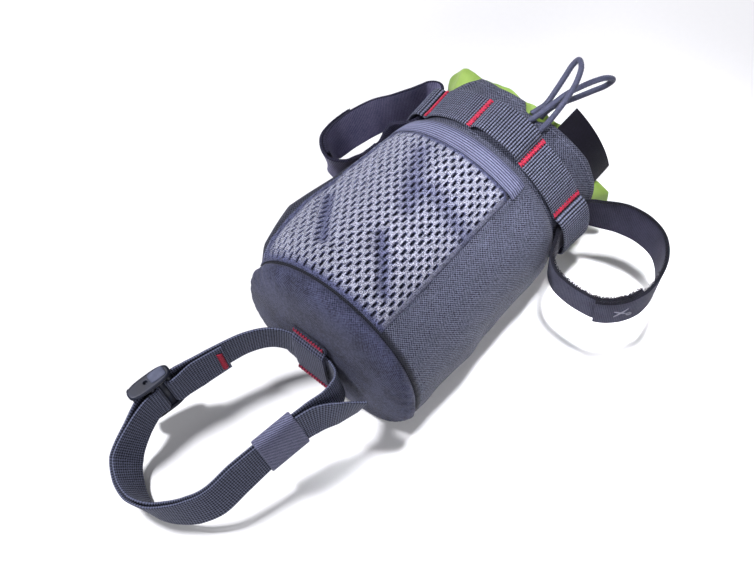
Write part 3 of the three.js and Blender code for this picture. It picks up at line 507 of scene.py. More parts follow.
def swept(points, closed, travel=None):
    """Faces of a closed cut swept through stations, and where each corner lies on the unrolled skin."""
    points = np.asarray(points)
    stations, around = points.shape[:2]
    spans = stations if closed else stations - 1
    if travel is None:
        travel = running(np.linalg.norm(np.roll(points, -1, 0) - points, axis=2).mean(1))
    girth = running(np.linalg.norm(np.roll(points, -1, 1) - points, axis=2).mean(0))
    i, j = (grid.ravel() for grid in np.meshgrid(np.arange(spans), np.arange(around), indexing="ij"))
    corners = ((i, j), (i + 1, j), (i + 1, j + 1), (i, j + 1))
    quads = np.stack([(a % stations) * around + b % around for a, b in corners], 1)
    places = np.stack([np.stack([travel[a], girth[b]], 1) for a, b in corners], 1)
    faces, flat = quads.tolist(), list(places)
    if not closed:
        last = stations * around
        faces += [list(range(around)), list(range(last - 1, last - around - 1, -1))]
        flat += [np.zeros((around, 2)), np.zeros((around, 2))]
    a, b, c, d = (points.reshape(-1, 3)[quads[:, k]] for k in range(4))
    volume = (np.cross(a, b) * c).sum() + (np.cross(a, c) * d).sum()
    if volume < 0:
        faces = [face[::-1] for face in faces]
        flat = [corner[::-1] for corner in flat]
    return points.reshape(-1, 3), faces, flat


def add_object(name, data):
    thing = bpy.data.objects.new(name, data)
    bpy.context.scene.collection.objects.link(thing)
    return thing


def add_piece(name, shape, materials, node=None, face_slots=None, shade=None):
    """One smooth piece of the bag, in a solid's place where a node is given; shade is kept per point."""
    points, faces, flat = shape
    mesh = bpy.data.meshes.new(name)
    mesh.from_pydata(to_frame(points).tolist(), [], faces)
    layer = mesh.uv_layers.new(name="flat")
    layer.data.foreach_set("uv", np.concatenate(flat).astype(np.float32).ravel())
    for material in materials:
        mesh.materials.append(material)
    mesh.polygons.foreach_set("use_smooth", np.ones(len(faces), bool))
    if face_slots is not None:
        mesh.polygons.foreach_set("material_index", np.asarray(face_slots, np.int32))
    if shade is not None:
        stored = mesh.attributes.new("shade", "FLOAT", "POINT")
        stored.data.foreach_set("value", np.asarray(shade, np.float32))
    mesh.update()
    piece = add_object(name, mesh)
    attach(piece, "root")
    if node:
        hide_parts(node)
    return piece


def wall_shape(turns, size, lift, relief, high=None, closed=True, travel=None):
    """Wall round the bag, in one of the sizes above or with a high edge of its own.
    Lift gives the offset of its inner side, and relief shapes its outside."""
    share, depth, over = wall_cut(*size.steps)
    turn, wall = turns[:, None], size.wall
    high = size.high if high is None else high[:, None]
    along = size.low + wall / 2 + (high - size.low - wall) * share + over * wall / 2
    offset = lift(turn, along) + wall * (1 - depth) + relief(turn, along, share) * (depth == 0)
    return swept(skin(turn, along, offset), closed, travel)


def tube_ring(side, other, sides):
    """Directions round a tube at each of its stations."""
    turn = circle(sides)[:, None]
    return side[:, None] * np.cos(turn) + other[:, None] * np.sin(turn)


def strands_shape(starts, ends, normals, radius, bulge, steps=5, sides=6):
    """Short arched threads from starts to ends, each a tapered tube."""
    share = np.linspace(0, 1, steps)
    arch = 1 - (2 * share - 1) ** 2
    side = unit(np.cross(unit(ends - starts), normals))
    centre = starts[:, None] + (ends - starts)[:, None] * share[:, None]
    centre = centre + normals[:, None] * (bulge * arch)[:, None]
    size = radius * (THREAD_TIP + (1 - THREAD_TIP) * np.sqrt(arch))[None, :, None, None]
    points = centre[:, :, None] + tube_ring(side, normals, sides)[:, None] * size
    return joined([swept(tube, False) for tube in points])


def joined(shapes):
    points, faces, flat = [], [], []
    start = 0
    for some, theirs, places in shapes:
        points.append(some)
        faces += [[corner + start for corner in face] for face in theirs]
        flat += places
        start += len(some)
    return np.concatenate(points), faces, flat


# Materials

class Shader:
    """One procedural material, put together socket by socket; u and v are millimetres on the flat cloth."""

    def __init__(self, name, look):
        self.name = name
        self.look = Sizes(**{**PLAIN_LOOK, **LOOKS[look]})
        self.material = bpy.data.materials.new(name)
        self.material.use_nodes = True
        self.tree = self.material.node_tree
        split = self.node("SeparateXYZ", {0: self.node("UVMap").outputs[0]})
        self.u, self.v = split.outputs[0], split.outputs[1]
        self.place = self.node("TexCoord").outputs["Object"]

    def node(self, kind, inputs=None, **settings):
        """A new node with its settings and a link or a constant for each input."""
        node = self.tree.nodes.new("ShaderNode" + kind)
        for name, value in settings.items():
            setattr(node, name, value)
        self.feed(node, inputs or {})
        return node

    def feed(self, node, inputs):
        for socket, value in inputs.items():
            if isinstance(value, bpy.types.NodeSocket):
                self.tree.links.new(value, node.inputs[socket])
            else:
                node.inputs[socket].default_value = value

    def math(self, operation, first, second=0.0):
        return self.node("Math", {0: first, 1: second}, operation=operation).outputs[0]

    def plus(self, first, second):
        return self.math("ADD", first, second)

    def times(self, first, second):
        return self.math("MULTIPLY", first, second)

    def blend(self, first, second, share):
        """Two patterns added up, the second with a share of the whole."""
        return self.plus(self.times(first, 1 - share), self.times(second, share))

    def wave(self, coordinate, pitch, shift=0.0):
        """Swings from 0 to 1 and back once every pitch."""
        turned = self.plus(self.times(coordinate, 2 * math.pi / pitch), shift)
        return self.plus(self.times(self.math("SINE", turned), 0.5), 0.5)

    def ribs(self, coordinate, pitch):
        """A wave that starts low, as the ribs in the mesh do."""
        return self.wave(coordinate, pitch, -math.pi / 2)

    def woven(self):
        """Plain weave: yarns that go over and under each other."""
        waves = [self.wave(way, pitch) for way, pitch in zip((self.u, self.v), self.look.weave)]
        over, under = (self.math("SUBTRACT", wave, 0.5) for wave in waves)
        return self.plus(self.times(self.times(over, under), 2.0), 0.5)

    def noise(self, size_mm, detail=3.0):
        inputs = {"Vector": self.place, "Scale": 1000 / size_mm, "Detail": detail}
        return self.node("TexNoise", inputs).outputs[0]

    def speck(self, size_mm):
        return self.noise(size_mm, 2.0)

    def specked(self, pattern):
        size, share = self.look.specks
        return self.blend(pattern, self.speck(size), share)

    def patched(self, pattern):
        size, share = self.look.patches
        return self.blend(pattern, self.noise(size), share)

    def between(self, value, low, high):
        """0 below low, 1 above high and straight between them."""
        return self.node("MapRange", {"Value": value, "From Min": low, "From Max": high}).outputs[0]

    def mix(self, factor, low, high):
        return self.node("Mix", {0: factor, 6: low, 7: high}, data_type="RGBA").outputs[2]

    def toned(self, value, name=None, share=LAMP_SHARE):
        """The material's two colours, or those of another name, mixed by a value."""
        ends = [srgb(*colour, share) for colour in COLOURS[name or self.name]]
        return self.mix(self.between(value, *self.look.tones), *ends)

    def stored(self, name):
        """A value kept at each point of the mesh."""
        return self.node("Attribute", attribute_name=name).outputs["Fac"]

    def finish(self, colour, height):
        """Links colour, relief and roughness to the surface."""
        look = self.look
        bump = self.node("Bump", {"Distance": look.bump * MM, "Height": height})
        rough = self.node("MapRange", {"Value": height, "To Min": look.rough[0], "To Max": look.rough[1]})
        self.feed(self.tree.nodes["Principled BSDF"], {
            "Base Color": colour, "Normal": bump.outputs[0], "Roughness": rough.outputs[0],
            "Specular IOR Level": look.specular,
            "Sheen Weight": look.sheen, "Sheen Roughness": SHEEN_ROUGHNESS,
        })
        return self.material


def ripstop_material():
    """Plain weave with thin lines of thicker yarn both ways, darker where the mesh keeps a low shade: painted
    shade on the body, a darker tone on the collar.
    """
    shader = Shader("ripstop_cloth", "ripstop")
    weave = shader.woven()
    yarns = [shader.wave(way, RIPSTOP_LINES.pitch) for way in (shader.u, shader.v)]
    lines = shader.between(shader.math("MAXIMUM", *yarns), *RIPSTOP_LINES.ramp)
    height = shader.math("MAXIMUM", weave, shader.times(lines, RIPSTOP_LINES.height))
    faded = shader.times(shader.noise(RIPSTOP_FADE.size), RIPSTOP_FADE.share)
    cloth = shader.mix(faded, shader.toned(shader.specked(weave)), srgb(*FADED_COLOUR))
    lined = shader.mix(shader.times(lines, RIPSTOP_LINES.share), cloth, srgb(*LINE_COLOUR))
    return shader.finish(shader.mix(shader.stored("shade"), srgb(*SHADE_COLOUR), lined), height)


def base_cloth_material():
    shader = Shader("base_cloth", "base")
    weave = shader.woven()
    return shader.finish(shader.toned(shader.patched(shader.specked(weave))), weave)


def net_material():
    """Knit that is bright where it is stretched, with painted shade in its dents, where it lies on the dark
    body, and painted shade on the lips of its holes.
    """
    shader = Shader("net_knit", "net")
    height = shader.specked(shader.woven())
    stretched, pressed = (shader.toned(height, name) for name in ("net_knit", "net_pressed_painted_shade"))
    shade = shader.stored("shade")
    # Painted shade in the dents, over the dark body that the net lies on
    knit = shader.mix(shader.between(shade, NET_SHADES.pressed, NET_SHADES.stretched), pressed, stretched)
    # Painted shade on the slits' lips, so the holes look dark from every side
    open_share = shader.between(shade, NET_SHADES.hole, NET_SHADES.pressed)
    return shader.finish(shader.mix(open_share, srgb(*HOLE_SHADE_COLOUR), knit), height)


def ribbed_material(name, pitch, slant):
    """Ribbed elastic or sleeve: ribs along it, or slanted as in a twill."""
    shader = Shader(name, "ribbed")
    height = shader.specked(shader.ribs(shader.plus(shader.v, shader.times(shader.u, slant)), pitch))
    return shader.finish(shader.toned(height), height)


def beaded_weave(rib, yarn, shader):
    """Ribs across webbing, each one a row of beads."""
    return shader.times(rib, shader.plus(shader.times(yarn, 0.5), 0.5))


def grid_weave(rib, yarn, shader):
    """Ribs across webbing and yarns along it, equally deep."""
    return shader.times(shader.plus(rib, yarn), 0.5)


def webbing_material(name, weave, rib_pitch):
    """Woven webbing in one of the weaves above."""
    shader = Shader(name, "webbing")
    rib, yarn = shader.ribs(shader.u, rib_pitch), shader.wave(shader.v, BASE_STRAP.bead_pitch)
    height = weave(rib, yarn, shader)
    return shader.finish(shader.toned(shader.specked(height)), height)


def lining_material():
    shader = Shader("lining_cloth", "lining")
    weave = shader.woven()
    return shader.finish(shader.toned(shader.patched(weave)), weave)


def label_material():
    shader = Shader("label_weave", "label")
    weave = shader.woven()
    return shader.finish(shader.toned(shader.times(weave, shader.noise(LABEL_GRAIN))), weave)


def tape_material(name, look="tape"):
    """Napped face of hook and loop tape."""
    shader = Shader(name, look)
    rows = shader.wave(shader.u, TAPE_NAP.pitch)
    height = shader.blend(rows, shader.noise(TAPE_NAP.size), TAPE_NAP.share)
    return shader.finish(shader.toned(shader.patched(height)), height)


def plastic_material(name, look):
    """Moulded plastic with a fine grain and rubbed patches."""
    shader = Shader(name, look)
    return shader.finish(shader.toned(shader.noise(PLASTIC.rubbed)), shader.speck(PLASTIC.grain))


def thread_material(name):
    shader = Shader(name, "thread")
    twist = shader.wave(shader.plus(shader.u, shader.times(shader.v, THREAD_TWIST.slant)), THREAD_TWIST.pitch)
    return shader.finish(shader.toned(shader.patched(twist)), twist)


def floor_material():
    shader = Shader("floor_paper", "floor")
    grain = shader.noise(FLOOR_GRAIN)
    return shader.finish(shader.toned(grain, share=1.0), grain)


# Camera, light and floor

def look_along(way):
    return way.to_track_quat("-Z", "Y").to_euler()


def add_camera():
    turn, rise = math.radians(CAMERA.azimuth), math.radians(CAMERA.elevation)
    back = Vector((math.sin(turn) * math.cos(rise), -math.cos(turn) * math.cos(rise), math.sin(rise)))
    data = bpy.data.cameras.new("photo_camera")
    data.lens, data.sensor_width = CAMERA.lens, CAMERA.sensor
    data.sensor_fit = "HORIZONTAL"
    camera = add_object("photo_camera", data)
    camera.location = Vector(CAMERA_TARGET) + back * CAMERA.distance
    camera.rotation_euler = look_along(-back)
    bpy.context.scene.camera = camera


def add_lamp(name, place, aim, size, power, spread):
    data = bpy.data.lights.new(name, "AREA")
    data.shape, data.size, data.energy = "DISK", size, power
    data.spread = math.radians(spread)
    data.color = LIGHT_COLOUR
    lamp = add_object(name, data)
    lamp.location = place
    lamp.rotation_euler = look_along(Vector(aim) - Vector(place))


def add_studio():
    scene = bpy.context.scene
    scene.view_settings.view_transform = "Standard"
    scene.world = bpy.data.worlds.new("studio")
    scene.world.use_nodes = True
    sky = scene.world.node_tree.nodes["Background"].inputs
    sky["Color"].default_value = (*LIGHT_COLOUR, 1.0)
    sky["Strength"].default_value = WORLD_STRENGTH
    for name, values in LAMPS.items():
        add_lamp(name, *values)
    mesh = bpy.data.meshes.new("floor")
    corners = [(x * FLOOR_HALF, y * FLOOR_HALF, 0) for x, y in ((-1, -1), (1, -1), (1, 1), (-1, 1))]
    mesh.from_pydata(corners, [], [(0, 1, 2, 3)])
    mesh.materials.append(floor_material())
    add_object("floor", mesh)


# Cord

def draw_cord(material):
    _, travel, centre, along = open_route(CORD_ROUTE, CORD.step)
    side = [unit(np.cross(along[0], UP))]
    for way in along[1:]:
        side.append(unit(side[-1] - way * np.dot(side[-1], way)))
    side = np.array(side)
    turn = CORD.strands * circle(CORD.sides)
    lay = 2 * math.pi * travel[:, None] / CORD.braid_pitch
    braid = np.abs(np.sin(lay + turn)) * np.abs(np.sin(lay - turn))
    radius = CORD.diameter / 2 * (1 - CORD.braid_height + 2 * CORD.braid_height * braid)
    points = centre[:, None] + tube_ring(side, np.cross(along, side), CORD.sides) * radius[:, :, None]
    cord = add_piece("draw_cord_braid", swept(points, False), [material], "draw_cord")


# Body, base and pocket

def net_left_edge(along):
    return straight_at(NET_LEFT_ROWS, 1, along)


def bare_strip(turn, along, ramps):
    """Share of the strip of bare cloth beside the net, with a ramp at each of its four edges."""
    left, right, low, high = ramps
    across = ramp(turn, *left) * ramp(net_left_edge(along) - turn, *right)
    return across * ramp(along, *low) * ramp(POCKET.high - along, *high)


def body_relief(turn, along, share):
    """Folds of the body: gathers at the base seam, a soft crumple, and the pocket's ridged side seam."""
    place = skin(turn, along, 0.0)
    pocket_middle = (POCKET.left + POCKET.right) / 2
    bare = ramp(np.abs(turn - pocket_middle), *BODY_FOLDS.bare_ramp)
    soft = crumple(place, "body") + crumple(place, "body_fine")
    folds = np.sin(np.radians(turn) * BODY_FOLDS.gathers + crumple(place, "body_gathers"))
    gathers = BODY_FOLDS.gather_height * np.exp(-along / BODY_FOLDS.gather_fade) * folds
    from_ridge = (turn - POCKET.right - SEAM_RIDGE.shift) / SEAM_RIDGE.spread
    ridge = SEAM_RIDGE.height * np.exp(-(from_ridge ** 2))
    strip = STRIP_RISE * bare_strip(turn, along, STRIP_RISE_RAMPS)
    ends = ramp(along, *BODY_FOLDS.ends) * ramp(BODY.high - along, *BODY_FOLDS.ends)
    return (bare * (soft + gathers) + ridge + strip) * ends


def body_shade(turns):
    """Painted shade per point: 1 on the body's cloth, less in the groove at the base seam and on the strip
    that the swell turns from the light.
    """
    share, _, _ = wall_cut(*BODY.steps)
    turn, along = np.broadcast_arrays(turns[:, None], BODY.high * share[None, :])
    strip = STRIP_SHADE * bare_strip(turn, along, STRIP_SHADE_RAMPS)
    seam = BASE_SEAM_SHADE * (1 - ramp(along, *BASE_SEAM_RAMP))
    return ((1 - strip) * (1 - seam)).ravel()


def body_shell(material):
    turns = full_turn(BODY.columns)
    shape = wall_shape(turns, BODY, lambda turn, along: -BODY.wall, body_relief)
    piece = add_piece("body_cloth", shape, [material], "body_wall", shade=body_shade(turns))


def base_shell(material):
    """Puffed cup with pleats beside its seam, drawn out to the lower end of the anchor patch."""
    columns, rows = BASE_STEPS
    steps = np.linspace(0, BASE_ROWS[-1][0], rows)
    step = np.concatenate([steps, steps[::-1]])
    depth = np.concatenate([0 * steps, 0 * steps + 1])
    share, along = smooth_at(BASE_ROWS, 1, step), smooth_at(BASE_ROWS, 2, step)
    turn = full_turn(columns)[:, None]
    sizes = [SECTIONS[0][column] * share for column in (1, 2, 3)]
    inside = np.minimum(along + depth * BASE_WALL * (1 - share ** 4), -SEAM_GAP)
    offset = -depth * BASE_WALL * share
    smooth = outline(*sizes, turn, inside, offset)
    edge = ramp(share, *BASE_FOLDS.edge_ramp) * ramp(-along, *BASE_FOLDS.seam_ramp)
    folds = np.sin(np.radians(turn) * BASE_FOLDS.pleats + crumple(smooth, "base_pleats"))
    fold = edge * (BASE_FOLDS.pleat_height * folds + crumple(smooth, "base")) * (depth == 0)
    points = outline(*sizes, turn, inside, offset + np.minimum(fold, BASE_FOLDS.most))
    wide = (points[..., 0] - ANCHOR.side) / ANCHOR_BUMP.half_wide
    high = (points[..., 2] - ANCHOR.height - ANCHOR_ROWS[-1][0]) / ANCHOR_BUMP.half_high
    points[..., 1] -= ANCHOR_BUMP.height * np.exp(-np.hypot(wide, high) ** 2) * (depth == 0)
    piece = add_piece("base_cloth", swept(points, True), [material], "base_cap")


def dent_depth(dent, turn, along):
    """How far a dent presses the pocket in: full depth on a line, fading to both sides."""
    turn1, along1, turn2, along2, spread, depth = dent
    start = np.array((math.radians(turn1) * POCKET_ARM, along1))
    run = np.array((math.radians(turn2) * POCKET_ARM, along2)) - start
    across, up = np.radians(turn) * POCKET_ARM - start[0], along - start[1]
    share = np.clip((across * run[0] + up * run[1]) / (run @ run), 0, 1)
    distance = np.hypot(across - share * run[0], up - share * run[1])
    return depth * np.exp(-((distance / spread) ** 2))


def pocket_slack(turn, along):
    """Share of the pocket's puff that its dents leave."""
    dents = sum(dent_depth(dent, turn, along) for dent in POCKET_DENTS)
    return np.maximum(POCKET.puff - dents, POCKET_EDGES.least) / POCKET.puff


def pocket_puff(turn, along):
    u = (turn - POCKET.left) / (POCKET.right - POCKET.left)
    v = (along - POCKET.low) / (POCKET.high - POCKET.low)
    sides = 1 - np.abs(2 * u - 1) ** POCKET_EDGES.side_power
    drawn = 1 - POCKET_EDGES.hem_draw * v ** POCKET_EDGES.hem_power
    ends = np.minimum(1, v * POCKET_EDGES.hem_ramp) * drawn
    return sides * ends * POCKET.puff * pocket_slack(turn, along)


# A corner of the net has a column, a row, a height over the sheet, and depth 0 outside or 1 inside

def level(places, height, depth):
    return [(*place, height, depth) for place in places]


def strip(outer, inner):
    """Faces between two rings of corners."""
    return list(zip(outer, outer[1:] + outer[:1], inner[1:] + inner[:1], inner))


def net_cell(column, low, high, holed):
    """Faces of one cell, with a slit between two lips where it is holed."""
    rows = np.arange(low, high + 0.01, NET.step)
    x, y = column + 0.5, (low + high) / 2
    ring = [(x, low), *[(column + 1, row) for row in rows], (x, high), *[(column, row) for row in rows[::-1]]]
    top, under = level(ring, 0.0, 0), level(ring, 0.0, 1)
    if not holed:
        return [top, under[::-1]]
    turns = [math.atan2((row - y) / (high - low), place - x) for place, row in ring]
    width = NET.hole_width / 2 * np.interp(column, NET_SLIT_COLUMNS, NET_SLIT_SHARES)
    length = NET.hole_length / 2
    slit = [(x + width * math.cos(turn), y + length * math.sin(turn)) for turn in turns]
    brow = [((a + p) / 2, (b + q) / 2) for (a, b), (p, q) in zip(ring, slit)]
    rings = [top, level(brow, NET.ridge, 0), level(slit, -NET.dip, 0), level(slit, 0.0, 1), under]
    return [face for outer, inner in zip(rings, rings[1:]) for face in strip(outer, inner)]


def net_rim():
    """Faces that close the net along its four edges."""
    columns, rows, step = NET.columns, NET.rows, NET.step
    sides = [(0, row) for row in np.arange(rows, -0.01, -step)]
    sides += [(column, 0) for column in np.arange(0.5, columns, 0.5)]
    sides += [(columns, row) for row in np.arange(0, rows + 0.01, step)]
    sides += [(column, rows) for column in np.arange(columns - 0.5, 0, -0.5)]
    return strip(level(sides, 0.0, 1), level(sides, 0.0, 0))


def net_mesh():
    """Corners and faces of the net: cells in staggered columns, each with a slit unless it is at an edge."""
    faces = []
    for column in range(NET.columns):
        first = 0.5 if column % 2 else 1.0
        edges = [0.0, *np.arange(first, NET.rows, 1.0), float(NET.rows)]
        for low, high in zip(edges, edges[1:]):
            holed = 0 < column < NET.columns - 1 and high - low > 0.9
            faces += net_cell(column, low, high, holed)
    faces += net_rim()
    index = {corner: k for k, corner in enumerate(dict.fromkeys(corner for face in faces for corner in face))}
    return np.array(list(index)), [[index[corner] for corner in face] for face in faces]


def net_pocket(material):
    corners, faces = net_mesh()
    column, row, height, depth = corners.T
    along = POCKET.low + (POCKET.high - POCKET.low) * row / NET.rows
    left = net_left_edge(along)
    turn = left + (POCKET.right - left) * column / NET.columns
    edge = np.minimum(np.minimum(column, NET.columns - column), 2 * row)
    sewn = 1 - ramp(edge, *NET_RAMPS.sewn)
    puff = pocket_puff(turn, along) * ramp(column, *NET_RAMPS.puff)
    base = POCKET.lift * (1 - NET_SEWN.lift * sewn) + puff
    slack = ramp(edge, *NET_RAMPS.slack) * crumple(skin(turn, along, base), "net")
    wall = POCKET.wall * (1 - NET_SEWN.wall * sewn)
    points = skin(turn, along, base + slack + wall * (1 - depth) + height)
    unrolled = np.stack([np.radians(turn) * POCKET_ARM, along], 1)
    shape = points, faces, [unrolled[face] for face in faces]
    # Painted shade, and a little painted light on the crests of the net's crumples
    shade = net_shade(row, edge, pocket_slack(turn, along)) + NET_SHADES.slack * slack
    # Painted shade: the slits' lips take the dark hole colour
    shade[height < 0] = NET_SHADES.hole
    piece = add_piece("pocket_net", shape, [material], "mesh_pocket", shade=shade)


def net_shade(row, edge, slack):
    """Painted shade of the net: darker in its dents, beside its seams, under the elastic edge and at the base
    seam.
    """
    inner = NET_SHADES.edge + (1 - NET_SHADES.edge) * ramp(edge, *NET_RAMPS.shade)
    high = NET_SHADES.high * ramp(row, NET.rows - 0.5, NET.rows)
    low = NET_SHADES.low * (1 - ramp(row, *NET_RAMPS.low_shade))
    return slack * inner - high - low


def pocket_binding(material):
    def lift(turn, along):
        share = (along - BINDING.low) / (BINDING.high - BINDING.low)
        sewn = ramp(np.minimum(turn - POCKET.left, BINDING.right - turn), *ELASTIC.sewn_ramp)
        return (ELASTIC.lift + ELASTIC.splay * (1 - share)) * sewn + SEAM_GAP / 2

    def relief(turn, along, share):
        ribs = np.abs(np.sin(math.pi * ELASTIC.ribs * share))
        return ELASTIC.rib_height * ribs - ELASTIC.rib_sink

    turns = np.linspace(POCKET.left, BINDING.right, BINDING.columns)
    shape = wall_shape(turns, BINDING, lift, relief, closed=False)
    add_piece("binding_elastic", shape, [material], "pocket_binding")


# Collar, webbing ring, lining and label

def rim_at(turn):
    return straight_at(RIM_ROWS, 1, turn)


def collar_relief(turn, along, share):
    """A turned hem along the rim and small folds under it."""
    above = ramp(along, WEBBING.high, WEBBING.high + COLLAR_HEM.fold_ramp)
    rim = rim_at(turn)
    hem = COLLAR_HEM.height * ramp(along, rim - COLLAR_HEM.start, rim - COLLAR_HEM.full)
    return above * (crumple(skin(turn, along, 0.0), "collar") + hem)


def collar(material):
    def lift(turn, along):
        tucked = 1 - ramp(along, BODY.high - TUCK.start, BODY.high + TUCK.full)
        return -COLLAR.wall - TUCK.depth * tucked

    turns = full_turn(COLLAR.columns)
    shape = wall_shape(turns, COLLAR, lift, collar_relief, rim_at(turns))
    shade = np.full(len(shape[0]), COLLAR_TONE)
    piece = add_piece("collar_cloth", shape, [material], "collar", shade=shade)


def webbing_lift(turn, along):
    """Offset of the webbing: on the collar at a bar tack, highest in the middle of a cell."""
    turned = np.mod(turn - TACK_FIRST_ANGLE, 360) / (360 / TACK_COUNT)
    cell = np.minimum(turned.astype(int), TACK_COUNT - 1)
    place = np.minimum(np.abs((turned - cell) * 2 - 1) / CELL_FLAT, 1)
    return SEAM_GAP + np.array(CELL_RISES)[cell] * (1 - place ** CELL_POWER)


def webbing_relief(turn, along, share):
    """Ribs across the webbing, flat along its two edges."""
    ribs = np.abs(np.sin(np.radians(turn - TACK_FIRST_ANGLE) * WEBBING_RIBS.count / 2))
    return WEBBING_RIBS.height * (ribs - 0.5) * ramp(np.minimum(share, 1 - share), *WEBBING_RIBS.edge_ramp)


def daisy_webbing(material):
    turns = TACK_FIRST_ANGLE + np.linspace(0, 360, WEBBING.columns, endpoint=False)
    travel = np.linspace(0, WEBBING_RIBS.count * WEBBING_RIBS.pitch, WEBBING.columns + 1)
    shape = wall_shape(turns, WEBBING, webbing_lift, webbing_relief, travel=travel)
    add_piece("webbing_ring", shape, [material], "daisy_webbing")


def mouth_lining(material):
    columns, rows = LINING_STEPS
    step = np.linspace(0, LINING_ROWS[-1][0], rows)[None, :]
    turn = full_turn(columns)[:, None]
    stay, past, draw, back = (smooth_at(LINING_ROWS, column, step) for column in (1, 2, 3, 4))
    rim = rim_at(turn)
    reach, flare = straight_at(SKIRT_ROWS, 1, turn), straight_at(SKIRT_ROWS, 2, turn)
    along = LINING_LOW + (rim - LINING_LOW) * stay + (reach - rim) * past - back
    gather = LINING_GATHERS.depth * draw / LINING_FULL_DRAW
    wave = gather * np.sin(LINING_GATHERS.count * np.radians(turn))
    offset = -LINING_INSET + (flare + LINING_INSET) * past - draw + wave
    place = skin(turn, along, offset)
    free = ramp(past, *LINING_GATHERS.free_ramp)
    along_by, out_by = (free * crumple(place, name) for name in ("lining_along", "lining_out"))
    sheet = skin(turn, along + along_by, offset + out_by)
    around = np.roll(sheet, -1, 0) - np.roll(sheet, 1, 0)
    normal = unit(np.cross(around, np.gradient(sheet, axis=1)))
    back_sheet = sheet - normal * LINING_WALL
    points = np.concatenate([sheet, back_sheet[:, ::-1]], 1)
    piece = add_piece("lining_cloth", swept(points, True), [material], "mouth_lining")


def label_tag(material):
    def relief(turn, along, share):
        inside = ramp(np.minimum(share, 1 - share), *LABEL_EDGE.ramp)
        return LABEL_EDGE.depth * inside - LABEL_EDGE.depth

    turns = np.linspace(LABEL.left, LABEL.right, LABEL.columns)
    shape = wall_shape(turns, LABEL, lambda turn, along: -LABEL.inset - LABEL.wall, relief, closed=False)
    piece = add_piece("label_cloth", shape, [material], "label_tag")


# Straps; the frame of a strap is its centre, along, across and out

def strap_frames(centre, along, lean):
    """Frames of a strap that leans outward by an angle in degrees."""
    outward = unit(np.cross(along, UP))
    upright = unit(np.cross(outward, along))
    turn = np.radians(np.asarray(lean, float))[..., None]
    across = upright * np.cos(turn) + outward * np.sin(turn)
    out = outward * np.cos(turn) - upright * np.sin(turn)
    return centre, along, across, out


def band_points(strap, cut, relief):
    """Points of a strap: its cut carried through the stations, with relief standing out of both faces."""
    centre, _, across, out = strap
    side, face, on_face = cut
    rise = face + np.sign(face) * on_face * relief
    return centre[:, None] + across[:, None] * side[:, None] + out[:, None] * rise[..., None]


def lapped_frames(route):
    """Frames of a closed strap whose ends lie one over the other, and the distance travelled to each."""
    thickness, overlap, step = HOOK_STRAP.thickness, HOOK_STRAP.overlap, HOOK_STRAP.step
    control, leans = route[:, :3], route[:, 3]
    places, travel = even_places(control, True, step)
    length = travel[-1]
    wanted = np.linspace(0, length + overlap, math.ceil((length + overlap) / step) + 1)
    place = np.interp(wanted % length, travel, places)
    index = np.floor(place).astype(int) % len(route)
    share = place - np.floor(place)
    lean = leans[index] * (1 - share) + leans[(index + 1) % len(route)] * share
    tangent = tangent_at(control, place, True)
    centre, _, across, out = strap_frames(curve_at(control, place, True), tangent, lean)
    outside = 1 - ramp(wanted, overlap, 2 * overlap)
    inside = ramp(wanted, length - overlap, length)
    centre = centre + out * ((thickness + SEAM_GAP) / 2 * (outside - inside))[:, None]
    return (centre, tangent, across, out), wanted


def tape_sides(cut, travel):
    """Side of the tape for each face of a strap; the outer layer's inside has hooks and counts as edge."""
    _, rise, on_face = cut
    faced = on_face & np.roll(on_face, -1)
    inner = faced & (rise < 0)
    sides = np.where(faced, np.where(inner, TAPE_INSIDE, TAPE_OUTSIDE), TAPE_EDGE)
    sides = sides[None, :].repeat(len(travel) - 1, 0)
    sides[(travel[:-1, None] < HOOK_STRAP.overlap) & inner[None, :]] = TAPE_EDGE
    return [*sides.ravel(), TAPE_EDGE, TAPE_EDGE]


def hook_strap(node, route, materials, hooked):
    """Closed strap with a material for each side of its tape, and hooks on its top edge as far as hooked."""
    strap, travel = lapped_frames(np.array(route, float))
    cut = band_cut(HOOK_STRAP.width, HOOK_STRAP.thickness, HOOK_STRAP.face_steps, HOOK_STRAP.squareness)
    shape = swept(band_points(strap, cut, np.zeros((len(travel), 1))), False)
    add_piece(node + "_tape", shape, materials, node, tape_sides(cut, travel))
    add_hooks(node + "_hooks", [values[travel < hooked] for values in strap], materials[TAPE_EDGE])
    return strap


def add_hooks(name, strap, material):
    """Stiff little hooks that stand out of the top edge between the strap's two layers."""
    draw = np.random.default_rng(HOOKS.seed)
    centre, along, across, out = (np.repeat(values, HOOKS.per_step, 0) for values in strap)

    def spread(low, high):
        return draw.uniform(low, high, len(centre))[:, None]

    edge, gap = HOOK_STRAP.width / 2 - HOOKS.below_edge, HOOK_STRAP.thickness / 2
    starts = centre + across * edge - out * (gap + spread(*HOOK_SPREADS.gap))
    ends = starts + across * spread(*HOOK_SPREADS.up) + along * spread(*HOOK_SPREADS.along)
    ends = ends - out * spread(*HOOK_SPREADS.out)
    shape = strands_shape(starts, ends, out, HOOKS.radius, HOOKS.bulge, HOOKS.steps, HOOKS.sides)
    add_piece(name, shape, [material])


def station_frames():
    """Frames of the base strap's stations, by name."""
    names = [row[0] for row in STRAP_STATIONS + TAIL_STATIONS]
    loop, tail = (np.array([row[1:] for row in rows], float) for rows in (STRAP_STATIONS, TAIL_STATIONS))
    tangent = tangent_at(loop[:, :3], np.arange(len(loop), dtype=float), True)
    buckle, sewn = names.index("buckle"), names.index("sewn_end")
    tangent[buckle] = unit(loop[buckle, :3] - loop[sewn, :3])
    steps = np.diff(tail[:, :3], axis=0)
    tangent = np.concatenate([tangent, unit(steps[:1]), unit(steps)])
    rows = np.concatenate([loop, tail])
    return dict(zip(names, zip(*strap_frames(rows[:, :3], tangent, rows[:, 3]))))


